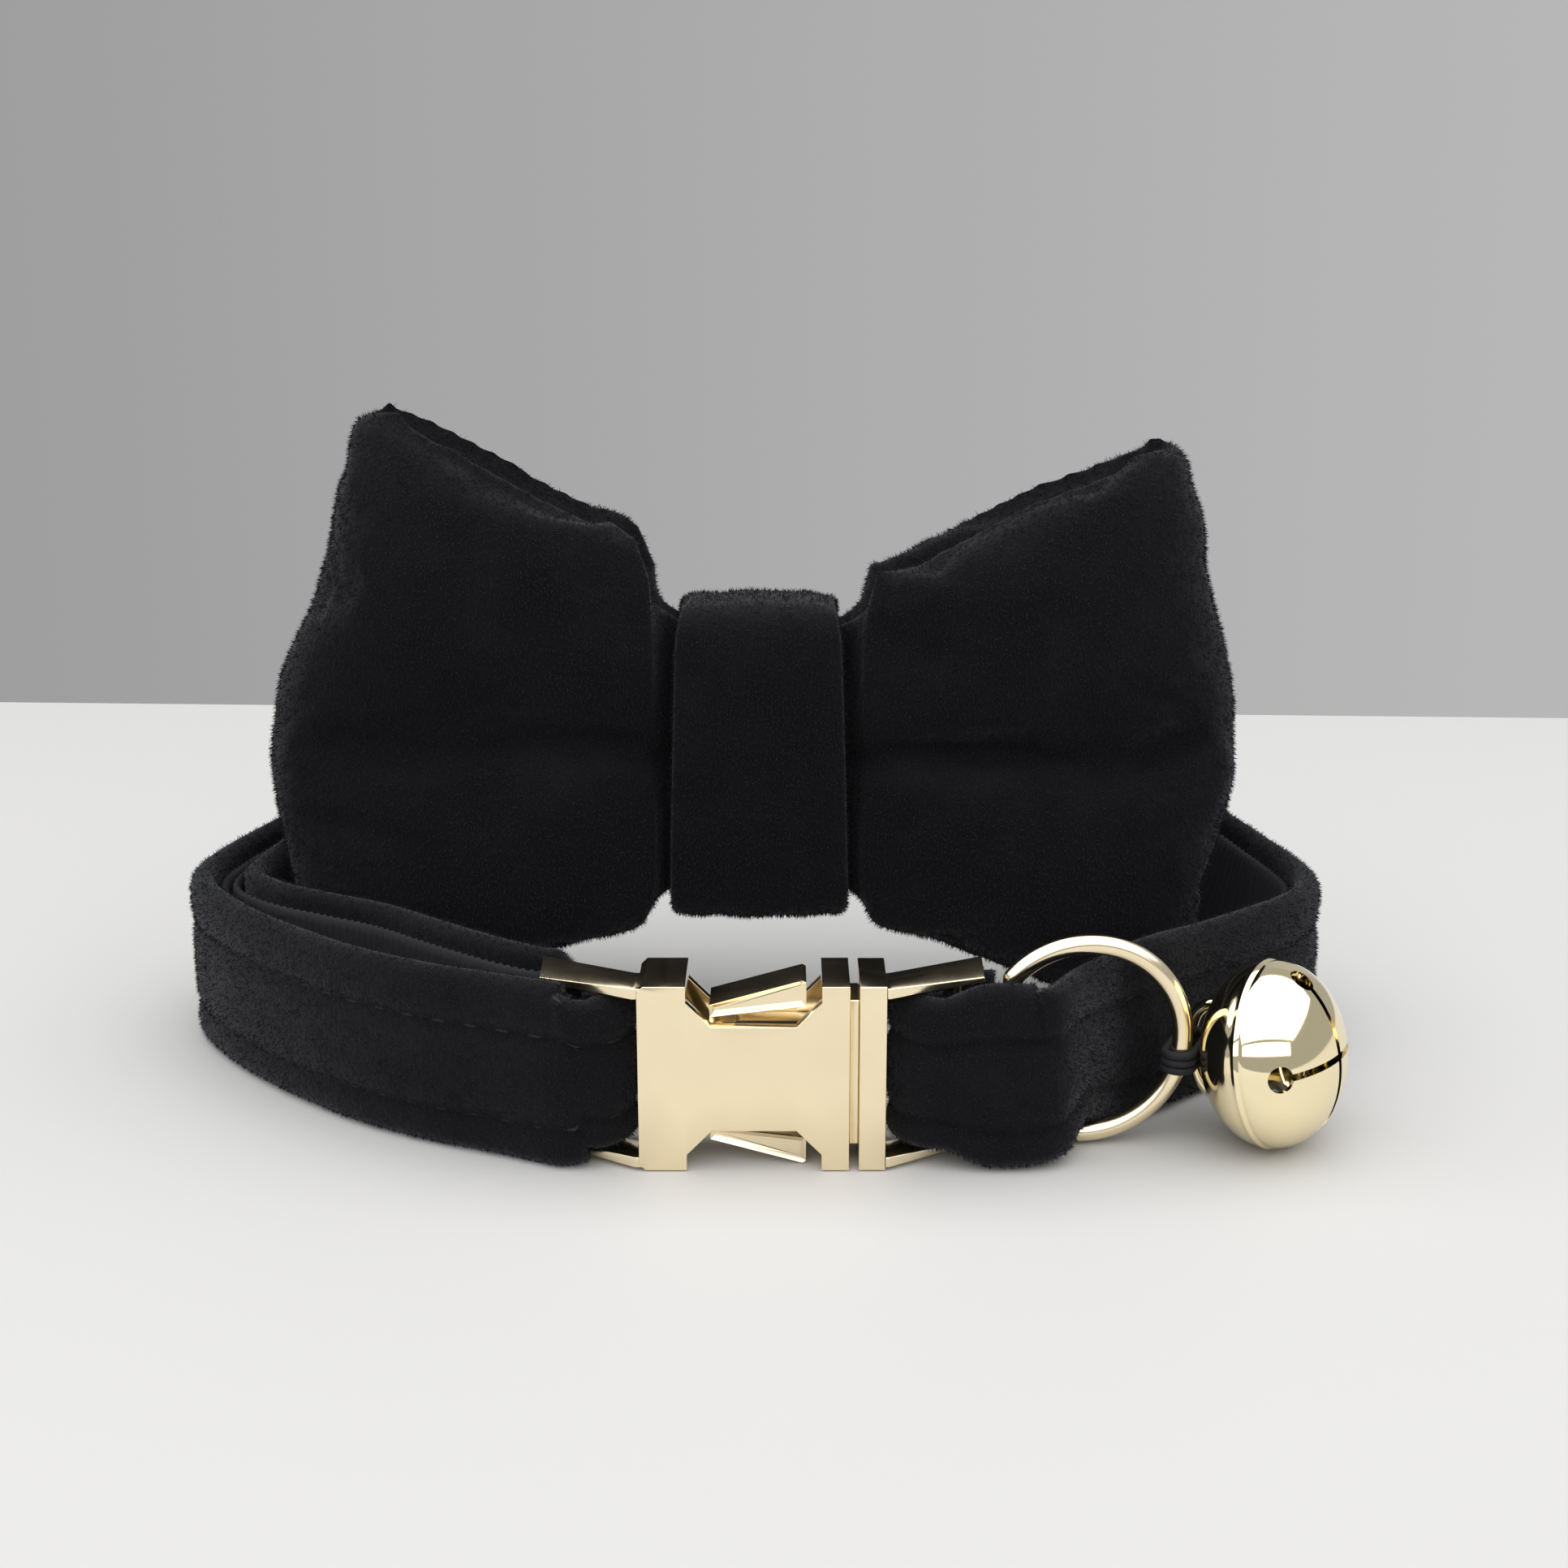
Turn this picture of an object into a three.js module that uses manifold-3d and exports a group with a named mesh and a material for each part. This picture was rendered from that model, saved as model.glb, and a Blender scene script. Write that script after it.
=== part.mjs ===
// A small pet's collar, fastened and standing on its long edge: a velvet strap on webbing, a metal
// side-release buckle in front, a ring with a jingle bell, and a padded velvet bow at the back.
// Millimetres, +Z up. X runs to the right along the buckle, Y runs from the buckle back to the bow.
import * as THREE from 'three';
import { mergeVertices } from 'three/addons/utils/BufferGeometryUtils.js';
import Module from 'manifold-3d';

const wasm = await Module();
wasm.setup();

// Fits
const clearance = 0.3;
const layerGap = 0.3;

// Strap
const strapWidth = 15;
const velvetThickness = 2.0;
const webbingWidth = 12.2;
const webbingThickness = 0.8;
const loopLeft = 51.6;
const loopRight = 49.4;
const loopDepth = 48.5;
const backLift = 13.5;
const returnSlack = 4.6;
const tailLength = 4.2;

// Buckle
const buckleX = -1.4;
const buckleHeight = 15.2;
const buckleDepth = 6.8;
const bodyLength = 16.4;
const seamWidth = 0.75;
const crossbarLength = 2.1;
const housingWall = 1.1;
const notchWidth = 10.5;
const notchFloor = 6.6;
const notchDepth = 3.3;
const notchShoulder = 1.3;
const notchOffset = 0.8;
const bodyCorner = 0.5;
const endBarRadius = 0.8;
const barReach = 5.3;
const prongReach = 7.8;
const prongSetback = 3.9;
const prongThickness = 1.05;
const prongRootEdge = 0.85;
const prongTipEdge = 0.4;
const prongDepth = 3.2;
const prongSink = 0.6;
const tabLength = 7.5;
const tabDepth = 3.9;
const tabThinEnd = 1.3;
const tabThickEnd = 2.1;
const tabFootLength = 2;
const tabFootSetback = 1;
const cavitySetback = 3;
const cavityFloor = 1.3;
const rootLength = 1.6;
const rootSink = 0.5;
const tongueThickness = 2.8;
const tongueInset = 0.5;
const tongueTipGap = 0.6;
const armThickness = 0.9;
const armTipGap = 2.4;

// Ring
const ringRadius = 8.75;
const ringWire = 1.6;
const ringFromBuckle = 25.6;
const ringBack = 5.4;
const ringYaw = 5;
const ringBarInset = 0.15;
const ringOpenAngle = 138;

// Bell
const bellRadius = 7.5;
const bellHalfLength = 5.45;
const bellWall = 0.6;
const bellFromRing = 15.2;
const bellBack = 5.7;
const bellYaw = 34;
const bellPitch = 10;
const bellSlotWidth = 0.55;
const bellSlotReach = 0.84;
const bellHoleRadius = 1.05;
const bellLoopWire = 1.0;
const bellLoopSpan = 8;
const bellLoopStand = 1.7;
const peaRadius = 2.1;
const tieThickness = 0.4;
const tieClearance = 0.3;
const tieHeight = 1.9;
const tieLevel = 6.9;

// Bow
const bowX = -1.9;
const bowBack = 32.4;
const leftWingReach = 43.9;
const rightWingReach = 41.8;
const leftWingTop = 56.5;
const rightWingTop = 52.9;
const leftWingLean = 1;
const rightWingLean = 0.6;
const panelThickness = 4.6;
const wingHalfDepth = 4.1;
const creaseDepth = 1.5;
const neckBottom = 13.4;
const neckTop = 37.4;
const neckPanelThickness = 3.2;
const knotWidth = 16.4;
const knotThickness = 2.2;
const knotCorner = 1.5;
const elasticWidth = 8;
const elasticThickness = 0.9;
const elasticCorner = 0.9;

// Slide
const slideWidth = 5;
const slideThickness = 1;

// Values that follow from the sizes
const strapThickness = velvetThickness + layerGap + webbingThickness;
const layerPitch = 2 * strapThickness + clearance;
const foldRadius = endBarRadius + clearance + strapThickness;
const foldWidth = buckleHeight - 2 * prongThickness - 2 * clearance;
const bodyLeft = buckleX - (bodyLength + seamWidth + crossbarLength) / 2;
const bodyRight = bodyLeft + bodyLength;
const crossbarLeft = bodyRight + seamWidth;
const crossbarRight = crossbarLeft + crossbarLength;
const prongRootBack = prongDepth / 2 + 0.1;
const barBack = prongRootBack + (prongSetback * barReach) / prongReach;
const foldSlack = 0.7;
const ringX = buckleX + ringFromBuckle;
const ringZ = ringRadius + 0.1;
const ringPathRadius = ringRadius - ringWire / 2;
const bellX = ringX + bellFromRing;
const bellTurn = THREE.MathUtils.degToRad(bellYaw);
const bellTilt = THREE.MathUtils.degToRad(bellPitch);
const bellRise = Math.hypot(bellRadius * Math.cos(bellTilt), bellHalfLength * Math.sin(bellTilt));
const neckHalfDepth = neckPanelThickness + layerGap / 2;
const knotHalfDepth = neckHalfDepth + 1.5 * clearance + knotThickness;
const elasticFront = bowBack + knotHalfDepth + clearance;
const strapBehindKnot = elasticFront + elasticThickness + 2 * clearance + strapThickness;

// Colours
const velvet = new THREE.MeshStandardMaterial({ color: 0x17171b, roughness: 0.95, metalness: 0 });
const ribbed = new THREE.MeshStandardMaterial({ color: 0x121214, roughness: 0.85, metalness: 0 });
const champagne = new THREE.MeshStandardMaterial({ color: 0xe8d3ad, roughness: 0.25, metalness: 1 });
const brightGold = new THREE.MeshStandardMaterial({ color: 0xecd79a, roughness: 0.12, metalness: 1 });
const steel = new THREE.MeshStandardMaterial({ color: 0x9a9a9c, roughness: 0.35, metalness: 1 });

const collar = new THREE.Group();

function place(name, geometry, material) {
  const mesh = new THREE.Mesh(geometry, material);
  mesh.name = name;
  collar.add(mesh);
  return mesh;
}

// Solids: skins, booleans and plain blocks

// Turns the triangles over when they face inwards.
function faceOutwards(geometry) {
  const position = geometry.attributes.position;
  const index = geometry.index.array;
  const a = new THREE.Vector3();
  const b = new THREE.Vector3();
  const c = new THREE.Vector3();
  let volume = 0;
  for (let i = 0; i < index.length; i += 3) {
    a.fromBufferAttribute(position, index[i]);
    b.fromBufferAttribute(position, index[i + 1]);
    c.fromBufferAttribute(position, index[i + 2]);
    volume += a.dot(b.cross(c));
  }
  if (volume < 0) {
    for (let i = 0; i < index.length; i += 3) {
      const first = index[i];
      index[i] = index[i + 1];
      index[i + 1] = first;
    }
  }
  geometry.computeVertexNormals();
  return geometry;
}

// Skins a solid over rings that have the same number of points. A closed row of rings joins its
// last ring to its first; an open one gets a flat cap at each end.
function skin(rings, closed) {
  const count = rings[0].length;
  const indices = [];
  const last = closed ? rings.length : rings.length - 1;
  for (let i = 0; i < last; i++) {
    const here = i * count;
    const next = ((i + 1) % rings.length) * count;
    for (let j = 0; j < count; j++) {
      const k = (j + 1) % count;
      indices.push(here + j, next + j, next + k, here + j, next + k, here + k);
    }
  }
  if (!closed) {
    const end = (rings.length - 1) * count;
    for (let j = 1; j < count - 1; j++) {
      indices.push(0, j, j + 1);
      indices.push(end, end + j + 1, end + j);
    }
  }
  const geometry = new THREE.BufferGeometry().setFromPoints(rings.flat());
  geometry.setIndex(indices);
  return faceOutwards(geometry);
}

function toManifold(geometry) {
  const bare = geometry.clone();
  bare.deleteAttribute('normal');
  bare.deleteAttribute('uv');
  const merged = mergeVertices(bare, 1e-4);
  return new wasm.Manifold(new wasm.Mesh({
    numProp: 3,
    vertProperties: new Float32Array(merged.attributes.position.array),
    triVerts: new Uint32Array(merged.index.array),
  }));
}

function toGeometry(solid) {
  const mesh = solid.getMesh();
  const geometry = new THREE.BufferGeometry();
  geometry.setAttribute('position', new THREE.BufferAttribute(mesh.vertProperties, 3));
  geometry.setIndex(new THREE.BufferAttribute(mesh.triVerts, 1));
  return faceOutwards(geometry);
}

// A block between two opposite corners.
function block(low, high) {
  const size = high.map((value, axis) => value - low[axis]);
  const middle = high.map((value, axis) => (value + low[axis]) / 2);
  return toManifold(new THREE.BoxGeometry(...size).translate(...middle));
}

// A prism whose outline lies in the X-Z plane, from front to back.
function frontPrism(outline, front, back) {
  const shape = new THREE.Shape(outline.map(([x, z]) => new THREE.Vector2(x, z)));
  const prism = new THREE.ExtrudeGeometry(shape, { depth: back - front, bevelEnabled: false });
  return toManifold(prism.rotateX(Math.PI / 2).translate(0, back, 0));
}

function roundWire(path, wire, sides) {
  const count = path.length;
  const up = new THREE.Vector3(0, 1, 0);
  return path.map((point, i) => {
    const ahead = path[(i + 1) % count].clone().sub(path[(i - 1 + count) % count]).normalize();
    const side = new THREE.Vector3().crossVectors(ahead, up).normalize();
    return Array.from({ length: sides }, (_, j) => {
      const angle = (j / sides) * 2 * Math.PI;
      return point.clone()
        .addScaledVector(side, (wire / 2) * Math.cos(angle))
        .addScaledVector(up, (wire / 2) * Math.sin(angle));
    });
  });
}

// Strap route: the outer face of the strap, seen from above, from the sewn tail to the slide

// The turn round an end bar, from its back to its front or the other way.
function foldRow(centreX, fromDegrees, toDegrees) {
  const steps = 8;
  return Array.from({ length: steps + 1 }, (_, i) => {
    const angle = THREE.MathUtils.degToRad(fromDegrees + ((toDegrees - fromDegrees) * i) / steps);
    return {
      x: centreX + foldRadius * Math.cos(angle),
      y: barBack + foldRadius * Math.sin(angle),
      z: buckleHeight / 2,
      width: foldWidth,
    };
  });
}

const leftFoldX = bodyLeft - barReach + foldSlack;
const rightFoldX = crossbarRight + barReach - foldSlack;
const foldFront = barBack - foldRadius;
const foldBack = barBack + foldRadius;

// Across: share of the loop's half width on that side. Back: share of the loop's depth.
// Lift: share of the lift behind the knot.
const rightRows = [
  { across: 0.655, back: 0.222, lift: 0.03 },
  { across: 0.745, back: 0.308, lift: 0 },
  { across: 0.845, back: 0.392, lift: 0 },
  { across: 0.93, back: 0.472, lift: 0 },
  { across: 0.985, back: 0.553, lift: 0 },
  { across: 1, back: 0.64, lift: 0.01 },
  { across: 0.975, back: 0.745, lift: 0.04 },
  { across: 0.915, back: 0.85, lift: 0.11 },
  { across: 0.825, back: 0.925, lift: 0.24 },
  { across: 0.70, back: 0.965, lift: 0.46 },
  { across: 0.56, back: 0.965, lift: 0.70 },
  { across: 0.40, back: 0.94, lift: 0.90 },
];

// Apart: share of the slack that the returning layer takes inside the outer one.
const leftRows = [
  { across: 0.40, back: 0.955, lift: 0.90, apart: 0 },
  { across: 0.54, back: 0.99, lift: 0.72, apart: 0 },
  { across: 0.68, back: 1, lift: 0.47, apart: 0 },
  { across: 0.80, back: 0.967, lift: 0.24, apart: 0 },
  { across: 0.895, back: 0.905, lift: 0.11, apart: 0 },
  { across: 0.965, back: 0.81, lift: 0.04, apart: 0 },
  { across: 1, back: 0.69, lift: 0.01, apart: 0 },
  { across: 0.985, back: 0.585, lift: 0, apart: 0.02 },
  { across: 0.93, back: 0.485, lift: 0, apart: 0.2 },
  { across: 0.85, back: 0.38, lift: 0, apart: 0.62 },
  { across: 0.755, back: 0.28, lift: 0, apart: 0.95 },
  { across: 0.65, back: 0.187, lift: 0, apart: 0.95 },
  { across: 0.525, back: 0.108, lift: 0, apart: 0.75 },
  { across: 0.41, back: 0.055, lift: 0, apart: 0.5 },
];

function rowStation(row, side, half) {
  return {
    x: buckleX + side * half * row.across,
    y: loopDepth * row.back,
    z: strapWidth / 2 + backLift * row.lift,
    width: strapWidth,
    apart: row.apart ?? 0,
  };
}

// Where the strap leaves the buckle, passes over the ring's bar and goes back through the ring.
const ringStations = [
  { x: rightFoldX + 3.2, y: foldFront - 0.5, z: strapWidth / 2 + 0.2, width: strapWidth, apart: 0 },
  { x: ringX - 4.2, y: foldFront - 0.3, z: strapWidth / 2 + 0.2, width: strapWidth - 0.2, apart: 0 },
  { x: ringX - 2, y: foldFront + 0.7, z: strapWidth / 2 + 0.5, width: strapWidth - 0.8, apart: 0 },
  { x: ringX + 0.3, y: ringBack - 1.2, z: ringZ - 0.2, width: strapWidth - 2.2, apart: 0 },
  { x: ringX + 3.2, y: ringBack + 2.9, z: strapWidth / 2 + 0.3, width: strapWidth - 0.9, apart: 0 },
];
const behindKnot = {
  x: bowX,
  y: strapBehindKnot,
  z: strapWidth / 2 + backLift,
  width: strapWidth,
  apart: 0,
};
const outerRows = [
  { x: rightFoldX, y: foldFront, z: buckleHeight / 2, width: foldWidth, apart: 0 },
  ...ringStations,
  ...rightRows.map((row) => rowStation(row, 1, loopRight)),
  { ...behindKnot, x: bowX + elasticWidth },
  { ...behindKnot, x: bowX - elasticWidth },
  ...leftRows.map((row) => rowStation(row, -1, loopLeft)),
  { x: leftFoldX - 1.6, y: foldFront + 0.15, z: strapWidth / 2, width: strapWidth, apart: 0.4 },
  { x: leftFoldX, y: foldFront, z: buckleHeight / 2, width: foldWidth, apart: 0.4 },
];

// Smooth stations through the chosen rows.
function smoothStations(rows, perRow) {
  const places = new THREE.CatmullRomCurve3(
    rows.map((row) => new THREE.Vector3(row.x, row.y, row.z)), false, 'catmullrom', 0.5);
  const sizes = new THREE.CatmullRomCurve3(
    rows.map((row) => new THREE.Vector3(row.width, row.apart, 0)), false, 'catmullrom', 0.5);
  const steps = (rows.length - 1) * perRow;
  return Array.from({ length: steps + 1 }, (_, i) => {
    const at = places.getPoint(i / steps);
    const size = sizes.getPoint(i / steps);
    return { x: at.x, y: at.y, z: at.z, width: size.x, apart: Math.max(size.y, 0) };
  });
}

// Adds the outward and upward directions to each station.
function withDirections(stations) {
  return stations.map((station, i) => {
    const before = stations[Math.max(i - 1, 0)];
    const after = stations[Math.min(i + 1, stations.length - 1)];
    const ahead = new THREE.Vector3(after.x - before.x, after.y - before.y, after.z - before.z);
    ahead.normalize();
    const out = new THREE.Vector3(ahead.y, -ahead.x, 0).normalize();
    const up = new THREE.Vector3().crossVectors(out, ahead);
    return { ...station, ahead, out, up };
  });
}

const outerStations = withDirections(smoothStations(outerRows, 3));
const slideIndex = outerStations.findIndex(
  (station) => station.y > loopDepth / 2 && station.x < buckleX - 0.58 * loopLeft);
const returnStations = outerStations.slice(slideIndex - 2, -5).reverse().map((station) => {
  const inward = layerPitch + returnSlack * station.apart;
  return {
    x: station.x - station.out.x * inward,
    y: station.y - station.out.y * inward,
    z: station.z,
    width: strapWidth,
  };
});
const strapRoute = withDirections([
  { x: rightFoldX + tailLength, y: foldBack, z: buckleHeight / 2, width: foldWidth },
  ...foldRow(rightFoldX, 90, 270),
  ...outerStations.slice(1, -1),
  ...foldRow(leftFoldX, 270, 450),
  ...returnStations,
]);

// A flat band along the route, between two depths under the strap's outer face, with its long
// edges taken off.
function band(stations, near, far, widthOf, edge) {
  const rings = stations.map((station) => {
    const centre = new THREE.Vector3(station.x, station.y, station.z);
    const half = widthOf(station) / 2;
    const outline = [
      [near, half - edge], [near + edge, half], [far - edge, half], [far, half - edge],
      [far, edge - half], [far - edge, -half], [near + edge, -half], [near, edge - half],
    ];
    return outline.map(([depth, rise]) => centre.clone()
      .addScaledVector(station.out, -depth)
      .addScaledVector(station.up, rise));
  });
  return skin(rings, false);
}

place('collar_strap', band(strapRoute, 0, velvetThickness, (station) => station.width, 0.6), velvet);
const webbingOf = (station) => Math.min(webbingWidth, station.width - 0.5);
const webbingNear = velvetThickness + layerGap;
place('strap_webbing', band(strapRoute, webbingNear, strapThickness, webbingOf, 0.2), ribbed);

// Slide: a plain sleeve round both layers, hidden behind the bow
function slideSleeve() {
  const at = outerStations[slideIndex];
  const sleeve = (outside) => {
    const grow = clearance + (outside ? slideThickness : 0);
    const half = strapWidth / 2 + grow;
    const reach = outside ? slideWidth / 2 : slideWidth;
    return toManifold(skin([-reach, reach].map((step) => [
      [grow, half], [-layerPitch - grow, half], [-layerPitch - grow, -half], [grow, -half],
    ].map(([out, rise]) => new THREE.Vector3(at.x, at.y, at.z)
      .addScaledVector(at.ahead, step)
      .addScaledVector(at.out, out)
      .addScaledVector(at.up, rise))), false));
  };
  return toGeometry(sleeve(true).subtract(sleeve(false)));
}
place('strap_slide', slideSleeve(), steel);

// Buckle

// The frame that a strap end is folded round: two prongs, bent back, and the bar between them.
// Side is -1 for the frame on the left of the body and 1 for the one on the right. A prong is a
// wedge, thinner at its front edge, and the front edge thins towards the tip.
function strapFrame(rootX, side) {
  const barX = rootX + side * barReach;
  const half = prongDepth / 2;
  const section = (x, back, edge) => [
    [back - half, prongThickness],
    [back - half, prongThickness - edge],
    [back + half, 0],
    [back + half, prongThickness],
  ].map(([y, z]) => new THREE.Vector3(x, y, z));
  const sections = [
    section(rootX - side * prongSink, prongRootBack, prongRootEdge),
    section(rootX + side * clearance, prongRootBack, prongRootEdge),
    section(rootX + side * prongReach, prongRootBack + prongSetback, prongTipEdge),
  ];
  const raised = sections.map((ring) => ring.map(
    ({ x, y, z }) => new THREE.Vector3(x, y, buckleHeight - z)));
  const bar = new THREE.CylinderGeometry(endBarRadius, endBarRadius, buckleHeight - prongThickness, 10)
    .rotateX(Math.PI / 2).translate(barX, barBack, buckleHeight / 2);
  return toManifold(skin(sections, false))
    .add(toManifold(skin(raised, false)))
    .add(toManifold(bar));
}

const notchMiddle = bodyLeft + bodyLength / 2 + notchOffset;

// The outline of the female body from the front, with a notch over each release tab.
function bodyOutline() {
  const left = notchMiddle - notchWidth / 2;
  const right = notchMiddle + notchWidth / 2;
  const floorLeft = notchMiddle - notchFloor / 2;
  const floorRight = notchMiddle + notchFloor / 2;
  const top = buckleHeight;
  return [
    [bodyLeft + bodyCorner, 0],
    [left, 0],
    [left, notchShoulder],
    [floorLeft, notchDepth],
    [floorRight, notchDepth],
    [right, notchShoulder],
    [right, 0],
    [bodyRight, 0],
    [bodyRight, top],
    [right, top],
    [right, top - notchShoulder],
    [floorRight, top - notchDepth],
    [floorLeft, top - notchDepth],
    [left, top - notchShoulder],
    [left, top],
    [bodyLeft + bodyCorner, top],
    [bodyLeft, top - bodyCorner],
    [bodyLeft, bodyCorner],
  ];
}

const cavityLeft = bodyLeft + cavitySetback;
const tongueHalf = buckleHeight / 2 - notchDepth - clearance - armThickness;

function femaleBuckle() {
  const shell = frontPrism(bodyOutline(), 0, buckleDepth);
  const cavity = block(
    [cavityLeft, housingWall, cavityFloor],
    [bodyRight + 1, buckleDepth - housingWall, buckleHeight - cavityFloor]);
  return toGeometry(shell.subtract(cavity).add(strapFrame(bodyLeft, -1)));
}
place('buckle_female', femaleBuckle(), champagne);

// The male half: crossbar, wide tongue root, guide tongue and the two spring arms.
function maleBuckle() {
  const front = housingWall + clearance;
  const back = buckleDepth - housingWall - clearance;
  const low = cavityFloor + clearance;
  const high = buckleHeight - low;
  const middle = buckleHeight / 2;
  const armLow = middle + tongueHalf - armThickness / 2;
  const armTip = cavityLeft + armTipGap;
  const rootLeft = bodyRight - rootLength;
  const sunk = rootLeft + rootSink;
  const crossbar = block([crossbarLeft, 0, 0], [crossbarRight, buckleDepth, buckleHeight]);
  const root = block([rootLeft, front, low], [crossbarLeft + rootSink, back, high]);
  const guide = block(
    [cavityLeft + tongueTipGap, front + tongueInset, middle - tongueThickness / 2],
    [sunk, back - tongueInset, middle + tongueThickness / 2]);
  const upper = block([armTip, front, armLow], [sunk, back, armLow + armThickness]);
  const lower = block(
    [armTip, front, buckleHeight - armLow - armThickness],
    [sunk, back, buckleHeight - armLow]);
  const tongue = crossbar.add(root).add(guide).add(upper).add(lower);
  return toGeometry(tongue.add(strapFrame(crossbarRight, 1)));
}
place('buckle_male', maleBuckle(), champagne);

// Release tabs: wedges that slant up out of the notches, thicker to the right, for a finger and
// thumb to press in. Each stands on a foot at its thin end, set back from its front.
function releaseTab(upper) {
  const left = notchMiddle - tabLength / 2 + clearance;
  const right = left + tabLength;
  const armTop = buckleHeight / 2 + tongueHalf + armThickness / 2;
  const footBottom = armTop + clearance;
  const footTop = buckleHeight - notchDepth + tabThinEnd / 2;
  const footRight = left + tabFootLength;
  const front = (buckleDepth - tabDepth) / 2;
  const back = front + tabDepth;
  const turned = (outline) => (upper
    ? outline
    : outline.map(([x, z]) => [x, buckleHeight - z]).reverse());
  const plate = turned([
    [left, buckleHeight - notchDepth + clearance],
    [right, buckleHeight - tabThickEnd],
    [right, buckleHeight - clearance / 2],
    [right - clearance, buckleHeight],
    [left, buckleHeight - notchDepth + tabThinEnd],
  ]);
  const foot = turned([
    [left + clearance, footBottom],
    [footRight, footBottom],
    [footRight, footTop],
    [left + clearance, footTop],
  ]);
  return toGeometry(frontPrism(plate, front, back)
    .add(frontPrism(foot, front + tabFootSetback, back - clearance)));
}
place('release_tab_top', releaseTab(true), champagne);
place('release_tab_bottom', releaseTab(false), champagne);

// Ring

// A round wire ring with a short straight bar on the strap's side.
function ringPath() {
  const steps = 30;
  const arc = Array.from({ length: steps + 1 }, (_, i) => {
    const angle = THREE.MathUtils.degToRad(-ringOpenAngle + (2 * ringOpenAngle * i) / steps);
    return new THREE.Vector3(ringPathRadius * Math.cos(angle), 0, ringPathRadius * Math.sin(angle));
  });
  const end = arc[steps];
  const bar = [0.4, -0.4].map((share) => new THREE.Vector3(end.x - ringBarInset, 0, end.z * share));
  return [...arc, ...bar];
}

function dRing() {
  return skin(roundWire(ringPath(), ringWire, 8), true)
    .rotateZ(THREE.MathUtils.degToRad(ringYaw))
    .translate(ringX, ringBack, ringZ);
}
place('d_ring', dRing(), champagne);

// Bell: a hollow round shell, slots crossing at its outer end, a wire loop at its inner end

function ovalShape(radius, half) {
  const steps = 14;
  const profile = Array.from({ length: steps + 1 }, (_, i) => {
    const angle = (Math.PI * i) / steps;
    const across = i % steps === 0 ? 0 : radius * Math.sin(angle);
    return new THREE.Vector2(across, -half * Math.cos(angle));
  });
  return toManifold(new THREE.LatheGeometry(profile, 24));
}

function bellShell() {
  const outside = ovalShape(bellRadius, bellHalfLength);
  const shell = outside.subtract(ovalShape(bellRadius - bellWall, bellHalfLength - bellWall));
  const slotReach = bellRadius * bellSlotReach;
  const slotDeep = bellHalfLength * 0.42;
  const half = bellSlotWidth / 2;
  let cut = block([-slotReach, slotDeep, -half], [slotReach, bellHalfLength + 1, half])
    .add(block([-half, slotDeep, -slotReach], [half, bellHalfLength + 1, slotReach]));
  for (const [x, z] of [[1, 0], [-1, 0], [0, 1], [0, -1]]) {
    const hole = new THREE.CylinderGeometry(bellHoleRadius, bellHoleRadius, 4, 10);
    hole.translate(x * slotReach * 0.97, slotDeep + 1.2, z * slotReach * 0.97);
    cut = cut.add(toManifold(hole));
  }
  return shell.subtract(cut);
}

// The wire loop is soldered to the shell: its feet end in the middle of the wall.
function bellLoop() {
  const steps = 12;
  const wallRadius = bellRadius - bellWall / 2;
  const wallHalf = bellHalfLength - bellWall / 2;
  const foot = wallHalf * Math.sqrt(1 - (bellLoopSpan / 2 / wallRadius) ** 2);
  const top = bellHalfLength + bellLoopStand;
  const path = Array.from({ length: steps + 1 }, (_, i) => {
    const angle = Math.PI * (i / steps);
    const along = -foot - (top - foot) * Math.sin(angle) ** 0.8;
    return new THREE.Vector3(0, along, (-bellLoopSpan / 2) * Math.cos(angle));
  });
  const rings = path.map((point, i) => {
    const before = path[Math.max(i - 1, 0)];
    const after = path[Math.min(i + 1, steps)];
    const ahead = after.clone().sub(before).normalize();
    const across = new THREE.Vector3(1, 0, 0);
    const side = new THREE.Vector3().crossVectors(ahead, across);
    return Array.from({ length: 8 }, (_, j) => {
      const angle = (j / 8) * 2 * Math.PI;
      return point.clone()
        .addScaledVector(across, (bellLoopWire / 2) * Math.cos(angle))
        .addScaledVector(side, (bellLoopWire / 2) * Math.sin(angle));
    });
  });
  return toManifold(skin(rings, false));
}

// The bell's own axis is Y; it is turned to point right, up and towards the front.
function placeBell(geometry) {
  return geometry
    .rotateX(bellTilt)
    .rotateZ(-Math.PI / 2 - bellTurn)
    .translate(bellX, bellBack, bellRise);
}
place('bell', placeBell(toGeometry(bellShell().add(bellLoop()))), brightGold);
const pea = new THREE.IcosahedronGeometry(peaRadius, 1);
pea.deleteAttribute('normal');
pea.deleteAttribute('uv');
place('bell_pea', mergeVertices(pea, 1e-4)
  .translate(bellX, bellBack, bellRise - bellRadius + bellWall + clearance + peaRadius), steel);

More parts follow.
